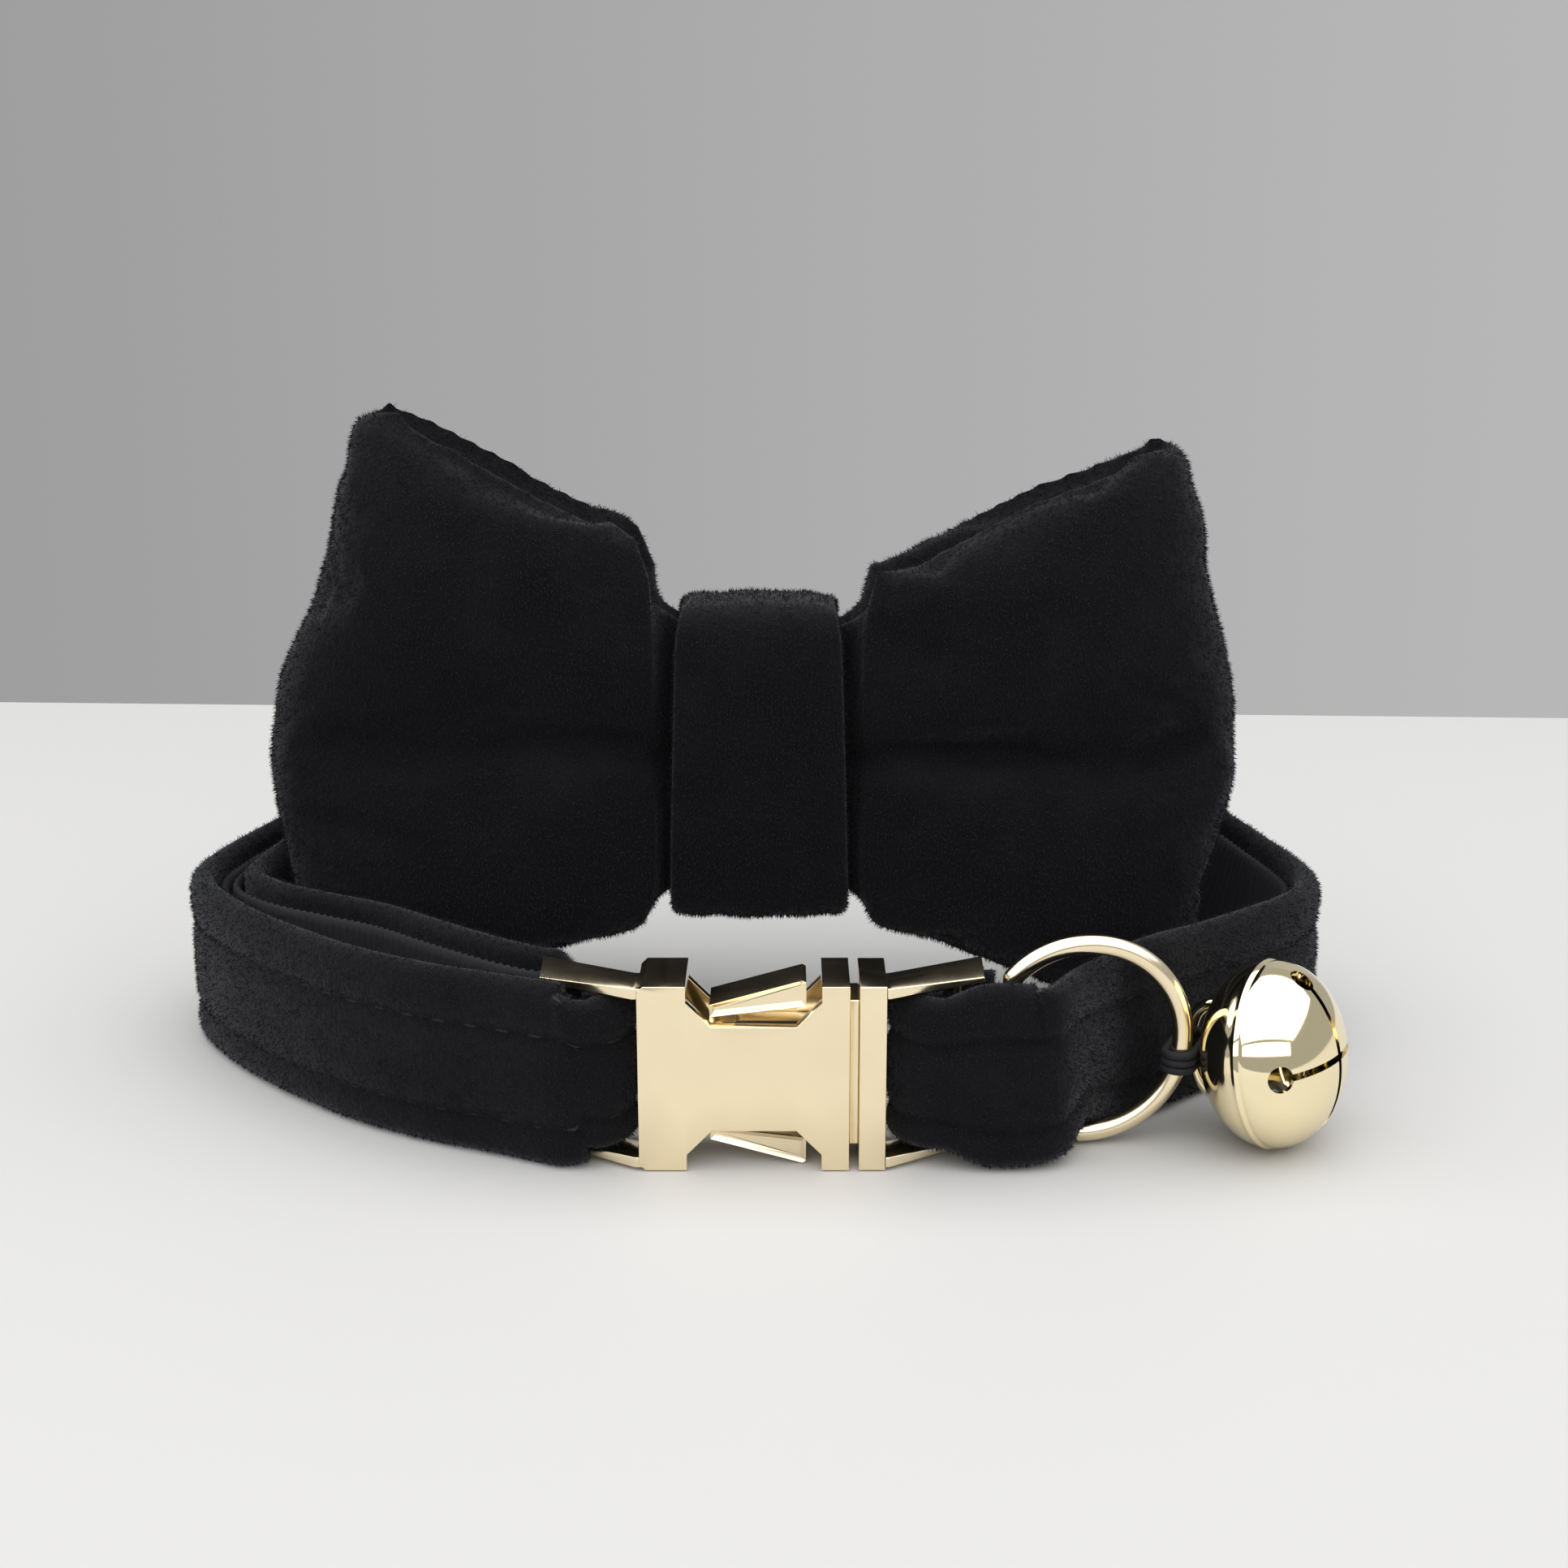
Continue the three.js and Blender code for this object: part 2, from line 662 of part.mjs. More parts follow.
// A black tie holds the bell's loop to the ring: an oval band round both wires.
function bellTie() {
  const yaw = THREE.MathUtils.degToRad(ringYaw);
  const reach = Math.sqrt(ringPathRadius ** 2 - (tieLevel - ringZ) ** 2);
  const onRing = new THREE.Vector2(ringX + reach * Math.cos(yaw), ringBack + reach * Math.sin(yaw));
  const out = (bellHalfLength + bellLoopStand) * Math.cos(bellTilt);
  const onLoop = new THREE.Vector2(
    bellX - out * Math.cos(bellTurn), bellBack + out * Math.sin(bellTurn));
  const along = onLoop.clone().sub(onRing);
  const span = along.length();
  const turn = Math.atan2(along.y, along.x);
  const inner = { ring: ringWire / 2 + tieClearance, loop: bellLoopWire / 2 + tieClearance };
  const steps = 20;
  const stadium = (grow) => Array.from({ length: steps }, (_, i) => {
    const angle = (2 * Math.PI * (i + 0.5)) / steps;
    const onBell = Math.cos(angle) > 0;
    const round = grow + (onBell ? inner.loop : inner.ring);
    return new THREE.Vector2((onBell ? span : 0) + round * Math.cos(angle), round * Math.sin(angle));
  });
  const shape = new THREE.Shape(stadium(tieThickness));
  shape.holes.push(new THREE.Path(stadium(0)));
  return new THREE.ExtrudeGeometry(shape, { depth: tieHeight, bevelEnabled: false })
    .rotateZ(turn)
    .translate(onRing.x, onRing.y, tieLevel - tieHeight / 2);
}
place('bell_tie', bellTie(), velvet);

// Bow: one padded band, folded into a flat loop and pinched by the knot

// Along: share of the way from the knot to the wing's tip. Deep: share of the wing's half depth.
// Top and bottom: share of the way from the neck to the wing's highest and lowest edge.
// Crease: share of the crease's depth.
const wingRows = [
  { along: 0, deep: 0.75, top: 0, bottom: 0, crease: 1 },
  { along: 0.025, deep: 0.78, top: 0.22, bottom: 0.19, crease: 1 },
  { along: 0.09, deep: 0.88, top: 0.40, bottom: 0.30, crease: 1 },
  { along: 0.21, deep: 0.95, top: 0.51, bottom: 0.45, crease: 0.9 },
  { along: 0.36, deep: 1, top: 0.60, bottom: 0.62, crease: 0.85 },
  { along: 0.54, deep: 1, top: 0.72, bottom: 0.79, crease: 0.8 },
  { along: 0.70, deep: 0.98, top: 0.83, bottom: 0.92, crease: 0.7 },
  { along: 0.84, deep: 0.92, top: 0.92, bottom: 0.98, crease: 0.6 },
  { along: 0.94, deep: 0.72, top: 0.985, bottom: 1, crease: 0.5 },
  { along: 0.985, deep: 0.42, top: 0.97, bottom: 1, crease: 0.4 },
  { along: 1, deep: 0, top: 0.94, bottom: 1, crease: 0.4 },
];

// High: share of the band's height. Out: share of the half thickness, outwards.
// Reach: share of the wing's reach at that height. Crease: 1 at the bottom of the crease.
const bandRows = [
  { high: 0, out: 0, reach: 0.93, crease: 0 },
  { high: 0.035, out: 0.72, reach: 0.935, crease: 0 },
  { high: 0.10, out: 1, reach: 0.945, crease: 0 },
  { high: 0.26, out: 1.1, reach: 0.972, crease: 0 },
  { high: 0.445, out: 0.98, reach: 0.998, crease: 0.1 },
  { high: 0.505, out: 0.9, reach: 1, crease: 1 },
  { high: 0.57, out: 0.98, reach: 0.975, crease: 0.1 },
  { high: 0.70, out: 1.1, reach: 0.905, crease: 0 },
  { high: 0.88, out: 1, reach: 0.828, crease: 0 },
  { high: 0.965, out: 0.72, reach: 0.785, crease: 0 },
  { high: 1, out: 0, reach: 0.768, crease: 0 },
  { high: 0.95, out: -0.9, reach: 0.795, crease: 0 },
  { high: 0.70, out: -1, reach: 0.905, crease: 0 },
  { high: 0.505, out: -1, reach: 1, crease: 0 },
  { high: 0.26, out: -1, reach: 0.972, crease: 0 },
  { high: 0.05, out: -0.9, reach: 0.938, crease: 0 },
];

// The stations of one wing's front, from the knot's middle to the tip.
function wingStations() {
  const neck = [0, 0.55].map((share) => ({
    inKnot: share, along: 0, deep: neckHalfDepth - neckPanelThickness / 2,
    thick: neckPanelThickness, top: 0, bottom: 0, crease: 0.3,
  }));
  const wing = wingRows.map((row, i) => ({
    ...row,
    inKnot: 1,
    deep: row.deep * wingHalfDepth,
    thick: i === 0 ? neckPanelThickness : panelThickness,
  }));
  wing[0].deep = neckHalfDepth - neckPanelThickness / 2;
  return [...neck, ...wing];
}

function bowBand() {
  const half = wingStations();
  const knotEdge = knotWidth / 2 + 3 * clearance;
  const laid = [];
  const lay = (row, side, face) => laid.push({ ...row, side, face });
  half.forEach((row) => lay(row, 1, -1));
  half.slice(0, -1).reverse().forEach((row) => lay(row, 1, 1));
  half.slice(1).forEach((row) => lay(row, -1, 1));
  half.slice(1, -1).reverse().forEach((row) => lay(row, -1, -1));
  const reachOf = (row) => (row.side > 0 ? rightWingReach : leftWingReach) - panelThickness / 2;
  const acrossOf = (row, share) => {
    const lean = row.side > 0 ? rightWingLean : leftWingLean;
    const outer = reachOf(row) * (1 - (1 - share) * lean) - knotEdge;
    return row.side * (knotEdge * row.inKnot + outer * row.along);
  };
  const plan = laid.map((row) => new THREE.Vector2(acrossOf(row, 1), row.face * row.deep));
  const rings = laid.map((row, i) => {
    const before = plan[(i - 1 + plan.length) % plan.length];
    const after = plan[(i + 1) % plan.length];
    const ahead = after.clone().sub(before).normalize();
    const out = new THREE.Vector3(ahead.y, -ahead.x, 0);
    const wingTop = row.side > 0 ? rightWingTop : leftWingTop;
    const top = neckTop + (wingTop - neckTop) * row.top;
    const bottom = neckBottom * (1 - row.bottom);
    const creaseShare = row.crease * (row.face < 0 ? 1 : 0.5);
    return bandRows.map((point) => {
      const push = point.out * (row.thick / 2) - point.crease * creaseShare * creaseDepth;
      return new THREE.Vector3(
        bowX + acrossOf(row, point.reach),
        bowBack + row.face * row.deep,
        bottom + (top - bottom) * point.high,
      ).addScaledVector(out, push);
    });
  });
  return skin(rings, true);
}
place('bow_loop', bowBand(), velvet);

// A band closed into an upright loop round a box, with rounded corners, seen from the side.
function uprightLoop(front, back, bottom, top, thickness, widthAt, corner) {
  const cornerSteps = 4;
  const centres = [
    [back - corner, top - corner, 0], [front + corner, top - corner, 90],
    [front + corner, bottom + corner, 180], [back - corner, bottom + corner, 270],
  ];
  const stations = centres.flatMap(([y, z, from]) => Array.from({ length: cornerSteps + 1 }, (_, i) => {
    const angle = THREE.MathUtils.degToRad(from + (90 * i) / cornerSteps);
    return { y, z, out: new THREE.Vector2(Math.cos(angle), Math.sin(angle)) };
  }));
  const middle = (bottom + top) / 2;
  return skin(stations.map(({ y, z, out }) => {
    const half = widthAt((z + out.y * corner - middle) / (top - middle)) / 2;
    const edge = thickness * 0.35;
    return [
      [corner, edge - half], [corner + edge, -half], [corner + thickness - edge, -half],
      [corner + thickness, edge - half], [corner + thickness, half - edge],
      [corner + thickness - edge, half], [corner + edge, half], [corner, half - edge],
    ].map(([radius, x]) => new THREE.Vector3(bowX + x, y + out.x * radius, z + out.y * radius));
  }), true);
}

const knotInside = neckHalfDepth + 1.5 * clearance;
// The knot is widest at mid-height and drawn in where it rolls over the top.
function knotWidthAt(share) {
  const drawnIn = 0.17 * Math.max(share, 0) ** 3 + 0.05 * Math.max(-share, 0) ** 3;
  return knotWidth * (1 - drawnIn);
}
place('knot_band', uprightLoop(
  bowBack - knotInside, bowBack + knotInside, neckBottom - clearance, neckTop + clearance,
  knotThickness, knotWidthAt, knotCorner), velvet);

// A plain elastic loop behind the knot holds the strap.
const elasticMiddle = strapWidth / 2 + backLift;
place('bow_elastic', uprightLoop(
  elasticFront + elasticThickness, strapBehindKnot + clearance,
  elasticMiddle - strapWidth / 2 - 2 * clearance, elasticMiddle + strapWidth / 2 + 2 * clearance,
  elasticThickness, () => elasticWidth, elasticCorner), ribbed);

// The origin is the middle of the base, on the surface that the collar stands on.
const bounds = new THREE.Box3().setFromObject(collar);
const centre = bounds.getCenter(new THREE.Vector3());
collar.position.set(-centre.x, -centre.y, -bounds.min.z);

export default collar;
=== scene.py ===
# %% [markdown]
# # A small pet's bow tie collar
# The collar is fastened and stands on its long edge: a velvet strap on webbing, a side-release buckle
# in front, a ring with a jingle bell, and a padded velvet bow behind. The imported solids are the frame.
# They fix every place and size. Each cell below dresses one piece in its real cloth or metal.

# %% Load the frame
import math

import bmesh
import bpy
import numpy as np
from mathutils import Matrix, Vector


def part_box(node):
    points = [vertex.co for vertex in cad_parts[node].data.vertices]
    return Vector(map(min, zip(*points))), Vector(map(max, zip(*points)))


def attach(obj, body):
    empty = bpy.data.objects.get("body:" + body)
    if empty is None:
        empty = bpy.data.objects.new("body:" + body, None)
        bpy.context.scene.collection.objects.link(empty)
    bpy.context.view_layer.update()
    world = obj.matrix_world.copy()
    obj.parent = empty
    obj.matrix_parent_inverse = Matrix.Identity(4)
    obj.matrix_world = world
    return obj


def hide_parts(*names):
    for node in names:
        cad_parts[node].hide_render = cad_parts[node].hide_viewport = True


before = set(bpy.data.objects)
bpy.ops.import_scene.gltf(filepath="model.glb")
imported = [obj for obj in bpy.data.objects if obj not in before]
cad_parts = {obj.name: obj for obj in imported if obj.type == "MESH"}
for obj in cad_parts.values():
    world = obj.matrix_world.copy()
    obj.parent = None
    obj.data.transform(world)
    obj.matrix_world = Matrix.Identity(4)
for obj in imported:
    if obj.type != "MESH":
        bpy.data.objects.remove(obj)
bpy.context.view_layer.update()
MM = 0.001
WELD = 0.002 * MM

# %% [markdown]
# ## Camera
# The picture is square and was taken from a little above the bow, looking 15 degrees down. The camera
# is placed from the buckle, which is the piece nearest to it.

# %% Camera
IMAGE_SIDE = 1932
FOCAL_PIXELS = 2700
SENSOR = 36
CAMERA_PITCH = 15
CAMERA_HEIGHT = 73.6 * MM
CAMERA_AHEAD = 157.6 * MM
CAMERA_RIGHT = 1.7 * MM

buckle_low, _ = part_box("buckle_female")
_, buckle_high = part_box("buckle_male")
buckle_middle = (buckle_low[0] + buckle_high[0]) / 2
camera_data = bpy.data.cameras.new("camera")
camera_data.sensor_width = SENSOR
camera_data.lens = SENSOR * FOCAL_PIXELS / IMAGE_SIDE
camera_data.clip_start = 0.01
camera = bpy.data.objects.new("camera", camera_data)
bpy.context.scene.collection.objects.link(camera)
camera.location = (buckle_middle + CAMERA_RIGHT, buckle_low[1] - CAMERA_AHEAD, CAMERA_HEIGHT)
camera.rotation_euler = (math.radians(90 - CAMERA_PITCH), 0, 0)
bpy.context.scene.camera = camera
print("camera at, mm:", [round(v / MM, 1) for v in camera.location])

# %% [markdown]
# ## Helpers for modelling
# Each operator works on what is selected, and loading the frame leaves its nodes selected. So every
# piece starts with a clean selection and becomes the active object.

# %% Selection and modifiers
def choose(piece):
    """Makes piece the only selected object, and the active one."""
    if bpy.context.object and bpy.context.object.mode != "OBJECT":
        bpy.ops.object.mode_set(mode="OBJECT")
    bpy.ops.object.select_all(action="DESELECT")
    piece.select_set(True)
    bpy.context.view_layer.objects.active = piece


def start_piece(name):
    """Names the primitive that was just added and puts its place into its mesh."""
    piece = bpy.context.object
    piece.name = name
    piece.data.name = name
    choose(piece)
    bpy.ops.object.transform_apply(location=True, rotation=True, scale=True)
    return piece


def modify(piece, kind, **values):
    """Adds one modifier and applies it."""
    choose(piece)
    modifier = piece.modifiers.new(kind.lower(), kind)
    for name, value in values.items():
        setattr(modifier, name, value)
    bpy.ops.object.modifier_apply(modifier=modifier.name)


def in_edit_mode(piece, *steps):
    """Selects everything in edit mode and runs the steps there."""
    choose(piece)
    bpy.ops.object.mode_set(mode="EDIT")
    bpy.ops.mesh.select_all(action="SELECT")
    for step in steps:
        step()
    bpy.ops.object.mode_set(mode="OBJECT")


def copy_of(node, name):
    """A new piece from a CAD node's mesh, with its loose triangles joined."""
    piece = bpy.data.objects.new(name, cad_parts[node].data.copy())
    bpy.context.scene.collection.objects.link(piece)
    piece.data.materials.clear()
    in_edit_mode(piece, lambda: bpy.ops.mesh.remove_doubles(threshold=WELD))
    return piece


def corners(piece):
    """The mesh's vertices as an array of (x, y, z)."""
    flat = np.empty(len(piece.data.vertices) * 3)
    piece.data.vertices.foreach_get("co", flat)
    return flat.reshape(-1, 3)


def set_corners(piece, places):
    piece.data.vertices.foreach_set("co", np.asarray(places, dtype=np.float64).ravel())
    piece.data.update()


def normals_of(piece):
    """The vertices' normals as an array of (x, y, z)."""
    flat = np.empty(len(piece.data.vertices) * 3)
    piece.data.vertices.foreach_get("normal", flat)
    return flat.reshape(-1, 3)


def dress(piece, material, replaced=()):
    """Gives the piece its material, lets it ride on the part, and hides the CAD nodes that it replaces."""
    piece.data.materials.clear()
    piece.data.materials.append(material)
    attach(piece, "root")
    if replaced:
        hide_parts(*replaced)
    print(f"{piece.name}: {len(piece.data.polygons)} faces")


def smooth(piece, degrees=180):
    choose(piece)
    bpy.ops.object.shade_smooth_by_angle(angle=math.radians(degrees))


# %% [markdown]
# ## Effects that several materials share
# Velvet, webbing and plated metal each repeat an effect at another scale or tint, so each effect is a
# node group with named inputs. A group puts out values that change over the surface. The shader stays
# in the material.

# %% Node helpers
def new_group(name, inputs, outputs):
    """An empty shader group: inputs are (name, kind, value), outputs are (name, kind)."""
    group = bpy.data.node_groups.new(name, "ShaderNodeTree")
    for label, kind, value in inputs:
        made = group.interface.new_socket(label, in_out="INPUT", socket_type=kind)
        if value is not None:
            made.default_value = value
    for label, kind in outputs:
        group.interface.new_socket(label, in_out="OUTPUT", socket_type=kind)
    return group, group.nodes.new("NodeGroupInput"), group.nodes.new("NodeGroupOutput")


def node(tree, kind, links=(), **values):
    """Adds a node. Each link is (input, output to read), and a value is a property or an input."""
    made = tree.nodes.new(kind)
    for name, value in values.items():
        if hasattr(made, name):
            setattr(made, name, value)
        else:
            made.inputs[name.replace("_", " ")].default_value = value
    for socket, source in links:
        tree.links.new(made.inputs[socket], source)
    return made


def shader_material(name, group=None, coordinate="Object", inputs=(), bump=0.0, depth=MM, **constants):
    """A material with one group feeding its shader. Constants are set on the shader itself."""
    material = bpy.data.materials.new(name)
    material.use_nodes = True
    tree = material.node_tree
    shader = tree.nodes["Principled BSDF"]
    for socket, value in constants.items():
        shader.inputs[socket.replace("_", " ")].default_value = value
    if group is None:
        return material
    where = node(tree, "ShaderNodeTexCoord")
    effect = tree.nodes.new("ShaderNodeGroup")
    effect.node_tree = group
    tree.links.new(effect.inputs["Vector"], where.outputs[coordinate])
    for label, value in dict(inputs).items():
        effect.inputs[label].default_value = value
    tree.links.new(shader.inputs["Base Color"], effect.outputs["Color"])
    tree.links.new(shader.inputs["Roughness"], effect.outputs["Roughness"])
    raised = node(tree, "ShaderNodeBump", Strength=bump, Distance=depth)
    tree.links.new(raised.inputs["Height"], effect.outputs["Height"])
    tree.links.new(shader.inputs["Normal"], raised.outputs["Normal"])
    return material


# %% [markdown]
# ### Pile
# Velvet is dark where its hairs point at the eye. The group mixes two shades in broad patches where the nap
# lies differently: the lighter shade is painted sheen, the light that brushed-over hairs catch. It adds a
# fine grain at the width of a tuft of hairs.

# %% Pile group
COLOR = "NodeSocketColor"
FLOAT = "NodeSocketFloat"
VECTOR = "NodeSocketVector"
SURFACE_OUTPUTS = [("Color", COLOR), ("Roughness", FLOAT), ("Height", FLOAT)]

pile_group, given, put = new_group(
    "pile",
    [
        ("Vector", VECTOR, None),
        ("Deep", COLOR, (0.0014, 0.0015, 0.0024, 1)),
        # Painted sheen: the lighter shade stands in for light caught by brushed-over hairs.
        ("Painted Sheen", COLOR, (0.0068, 0.0070, 0.0105, 1)),
        ("Patch Scale", FLOAT, 160.0),
        ("Tuft Scale", FLOAT, 2600.0),
    ],
    SURFACE_OUTPUTS,
)
patches = node(
    pile_group,
    "ShaderNodeTexNoise",
    [("Vector", given.outputs["Vector"]), ("Scale", given.outputs["Patch Scale"])],
    Detail=4.0,
    Roughness=0.6,
)
tufts = node(
    pile_group,
    "ShaderNodeTexNoise",
    [("Vector", given.outputs["Vector"]), ("Scale", given.outputs["Tuft Scale"])],
    Detail=3.0,
    Roughness=0.65,
)
# Where the broad patches get the painted sheen shade.
sheen_patches = node(
    pile_group,
    "ShaderNodeMapRange",
    [("Value", patches.outputs["Fac"])],
    From_Min=0.38,
    From_Max=0.68,
)
flecked = node(
    pile_group,
    "ShaderNodeMapRange",
    [("Value", tufts.outputs["Fac"])],
    From_Min=0.35,
    From_Max=0.75,
)
together = node(
    pile_group,
    "ShaderNodeMath",
    [(0, sheen_patches.outputs["Result"]), (1, flecked.outputs["Result"])],
    operation="MULTIPLY",
)
shade = node(
    pile_group,
    "ShaderNodeMix",
    [
        ("Factor", together.outputs["Value"]),
        (6, given.outputs["Deep"]),
        (7, given.outputs["Painted Sheen"]),
    ],
    data_type="RGBA",
)
dullness = node(
    pile_group,
    "ShaderNodeMapRange",
    [("Value", tufts.outputs["Fac"])],
    To_Min=0.8,
    To_Max=1.0,
)
pile_group.links.new(put.inputs["Color"], shade.outputs[2])
pile_group.links.new(put.inputs["Roughness"], dullness.outputs["Result"])
pile_group.links.new(put.inputs["Height"], tufts.outputs["Fac"])
print("group", pile_group.name)

# %% [markdown]
# ### Plated metal
# The castings are plated and polished. Handling leaves faint smears and hairline scratches, which
# change the roughness much more than the colour.

# %% Plating group
plating_group, given, put = new_group(
    "plating",
    [
        ("Vector", VECTOR, None),
        ("Plate", COLOR, (0.98, 0.85, 0.59, 1)),
        ("Smeared Plate", COLOR, (0.94, 0.80, 0.55, 1)),
        ("Polish", FLOAT, 0.14),
        ("Smear", FLOAT, 0.26),
        ("Smear Scale", FLOAT, 90.0),
    ],
    SURFACE_OUTPUTS,
)
smears = node(
    plating_group,
    "ShaderNodeTexNoise",
    [("Vector", given.outputs["Vector"]), ("Scale", given.outputs["Smear Scale"])],
    Detail=5.0,
    Roughness=0.6,
)
smeared = node(
    plating_group,
    "ShaderNodeMapRange",
    [("Value", smears.outputs["Fac"])],
    From_Min=0.4,
    From_Max=0.75,
)
stretched = node(
    plating_group,
    "ShaderNodeMapping",
    [("Vector", given.outputs["Vector"])],
    Scale=(1.0, 1.0, 9.0),
    Rotation=(0.3, 0.9, 0.5),
)
hairlines = node(
    plating_group,
    "ShaderNodeTexNoise",
    [("Vector", stretched.outputs["Vector"])],
    Scale=420.0,
    Detail=3.0,
)
plate = node(
    plating_group,
    "ShaderNodeMix",
    [
        ("Factor", smeared.outputs["Result"]),
        (6, given.outputs["Plate"]),
        (7, given.outputs["Smeared Plate"]),
    ],
    data_type="RGBA",
)
shine = node(
    plating_group,
    "ShaderNodeMix",
    [
        ("Factor", smeared.outputs["Result"]),
        (2, given.outputs["Polish"]),
        (3, given.outputs["Smear"]),
    ],
)
plating_group.links.new(put.inputs["Color"], plate.outputs[2])
plating_group.links.new(put.inputs["Roughness"], shine.outputs[0])
plating_group.links.new(put.inputs["Height"], hairlines.outputs["Fac"])
print("group", plating_group.name)

# %% [markdown]
# ### Woven band
# Webbing and elastic are woven narrow. Their threads run along and across the band, so the weave
# reads the piece's own UV map, whose U is the length along the band in metres.

# %% Weave group
weave_group, given, put = new_group(
    "weave",
    [
        ("Vector", VECTOR, None),
        ("Thread", COLOR, (0.006, 0.006, 0.008, 1)),
        ("Worn Thread", COLOR, (0.022, 0.022, 0.026, 1)),
        ("Threads Per Metre", FLOAT, 2200.0),
    ],
    SURFACE_OUTPUTS,
)
scaled = node(
    weave_group,
    "ShaderNodeVectorMath",
    [(0, given.outputs["Vector"]), ("Scale", given.outputs["Threads Per Metre"])],
    operation="SCALE",
)
threads = node(
    weave_group,
    "ShaderNodeTexChecker",
    [("Vector", scaled.outputs["Vector"])],
    Scale=1.0,
    Color1=(1, 1, 1, 1),
    Color2=(0.25, 0.25, 0.25, 1),
)
fluff = node(
    weave_group,
    "ShaderNodeTexNoise",
    [("Vector", scaled.outputs["Vector"])],
    Scale=0.7,
    Detail=4.0,
)
thread_shade = node(
    weave_group,
    "ShaderNodeMix",
    [
        ("Factor", fluff.outputs["Fac"]),
        (6, given.outputs["Thread"]),
        (7, given.outputs["Worn Thread"]),
    ],
    data_type="RGBA",
)
thread_dullness = node(
    weave_group,
    "ShaderNodeMapRange",
    [("Value", fluff.outputs["Fac"])],
    To_Min=0.6,
    To_Max=0.9,
)
weave_group.links.new(put.inputs["Color"], thread_shade.outputs[2])
weave_group.links.new(put.inputs["Roughness"], thread_dullness.outputs["Result"])
weave_group.links.new(put.inputs["Height"], threads.outputs["Fac"])
print("group", weave_group.name)

# %% [markdown]
# ## Materials
# Black velvet has almost no shine of its own. What makes it look soft is sheen, the light caught by
# hair tips at a grazing angle. The buckle and ring are a warm champagne plate, and the bell is a
# yellower one with a mirror polish.

# %% Materials
CLOTH_SHEEN = {"Sheen_Weight": 0.18, "Sheen_Roughness": 0.45, "Specular_IOR_Level": 0.15}
velvet = shader_material(
    "black velvet", pile_group, bump=0.5, depth=0.25 * MM,
    Sheen_Tint=(0.68, 0.69, 0.74, 1), **CLOTH_SHEEN,
)
hair = shader_material(
    "velvet hair", Base_Color=(0.0045, 0.0047, 0.0072, 1), Roughness=0.85,
    Sheen_Tint=(0.68, 0.69, 0.74, 1), **CLOTH_SHEEN,
)
thread = shader_material(
    "sewing thread", weave_group, "Object", {"Threads Per Metre": 3000.0}, bump=0.3, depth=0.05 * MM,
    Specular_IOR_Level=0.3,
)
ribbed = shader_material(
    "ribbed webbing", weave_group, "UV", bump=0.5, depth=0.08 * MM, Specular_IOR_Level=0.3,
)
champagne = shader_material(
    "champagne plate", plating_group, bump=0.03, depth=0.02 * MM, Metallic=1.0,
)
bright_gold = shader_material(
    "bright gold plate", plating_group,
    inputs={
        "Plate": (0.99, 0.87, 0.57, 1),
        "Smeared Plate": (0.97, 0.83, 0.52, 1),
        "Polish": 0.05,
        "Smear": 0.11,
    },
    bump=0.02, depth=0.02 * MM, Metallic=1.0,
)
steel = shader_material(
    "plain steel", plating_group,
    inputs={
        "Plate": (0.42, 0.42, 0.43, 1),
        "Smeared Plate": (0.3, 0.29, 0.28, 1),
        "Polish": 0.3,
        "Smear": 0.5,
    },
    bump=0.05, depth=0.02 * MM, Metallic=1.0,
)
made = (velvet, hair, thread, ribbed, champagne, bright_gold, steel)
print("materials:", ", ".join(m.name for m in made))

# %% [markdown]
# ## The strap's route
# The strap and its webbing follow one route: round the buckle's bars, through the ring, behind the
# bow and back to the slide. The CAD strap is a skin over rings of eight corners, so its route can be
# read back ring by ring: each ring's middle, its upward direction and its width.

# %% Read the route from the strap
RING_POINTS = 8
STRAP_WIDTH = 15 * MM
STRAP_THICKNESS = 2 * MM


def end_rings(mesh):
    """The vertices of each flat end cap: a patch of level faces with as many corners as a ring."""
    seen, found = set(), []
    for face in mesh.faces:
        if face in seen:
            continue
        patch, edge = {face}, [face]
        while edge:
            for side in edge.pop().edges:
                for other in side.link_faces:
                    if other not in patch and other.normal.dot(face.normal) > 0.99999:
                        patch.add(other)
                        edge.append(other)
        seen |= patch
        ring = {v for f in patch for v in f.verts}
        if len(ring) == RING_POINTS and len(patch) == RING_POINTS - 2:
            found.append(ring)
    return found


def route_of(name):
    """Middle, upward direction and width of each ring, from the sewn tail to the slide."""
    mesh = bmesh.new()
    mesh.from_mesh(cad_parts[name].data)
    bmesh.ops.remove_doubles(mesh, verts=mesh.verts, dist=WELD)
    mesh.normal_update()
    ring = max(end_rings(mesh), key=lambda ends: np.mean([v.co.x for v in ends]))
    seen, rings = set(ring), []
    while ring:
        rings.append(np.array([v.co[:] for v in ring]))
        ring = {e.other_vert(v) for v in ring for e in v.link_edges} - seen
        seen |= ring
    mesh.free()
    middle = np.array([r.mean(axis=0) for r in rings])
    ahead = np.gradient(middle, axis=0)
    ahead /= np.linalg.norm(ahead, axis=1, keepdims=True)
    up, width = [], []
    for points, centre in zip(rings, middle):
        axis = np.linalg.svd(points - centre)[2][0]
        axis *= np.sign(axis[2])
        up.append(axis)
        width.append(np.ptp(points @ axis))
    up = np.array(up)
    up -= ahead * np.sum(up * ahead, axis=1, keepdims=True)
    up /= np.linalg.norm(up, axis=1, keepdims=True)
    return {"middle": middle, "up": up, "width": np.array(width)}


route = route_of("collar_strap")
steps = np.linalg.norm(np.diff(route["middle"], axis=0), axis=1)
route["length"] = np.concatenate([[0], np.cumsum(steps)])
ROUTE_LENGTH = route["length"][-1]
print("rings:", len(route["middle"]), "route, mm:", round(ROUTE_LENGTH / MM, 1))

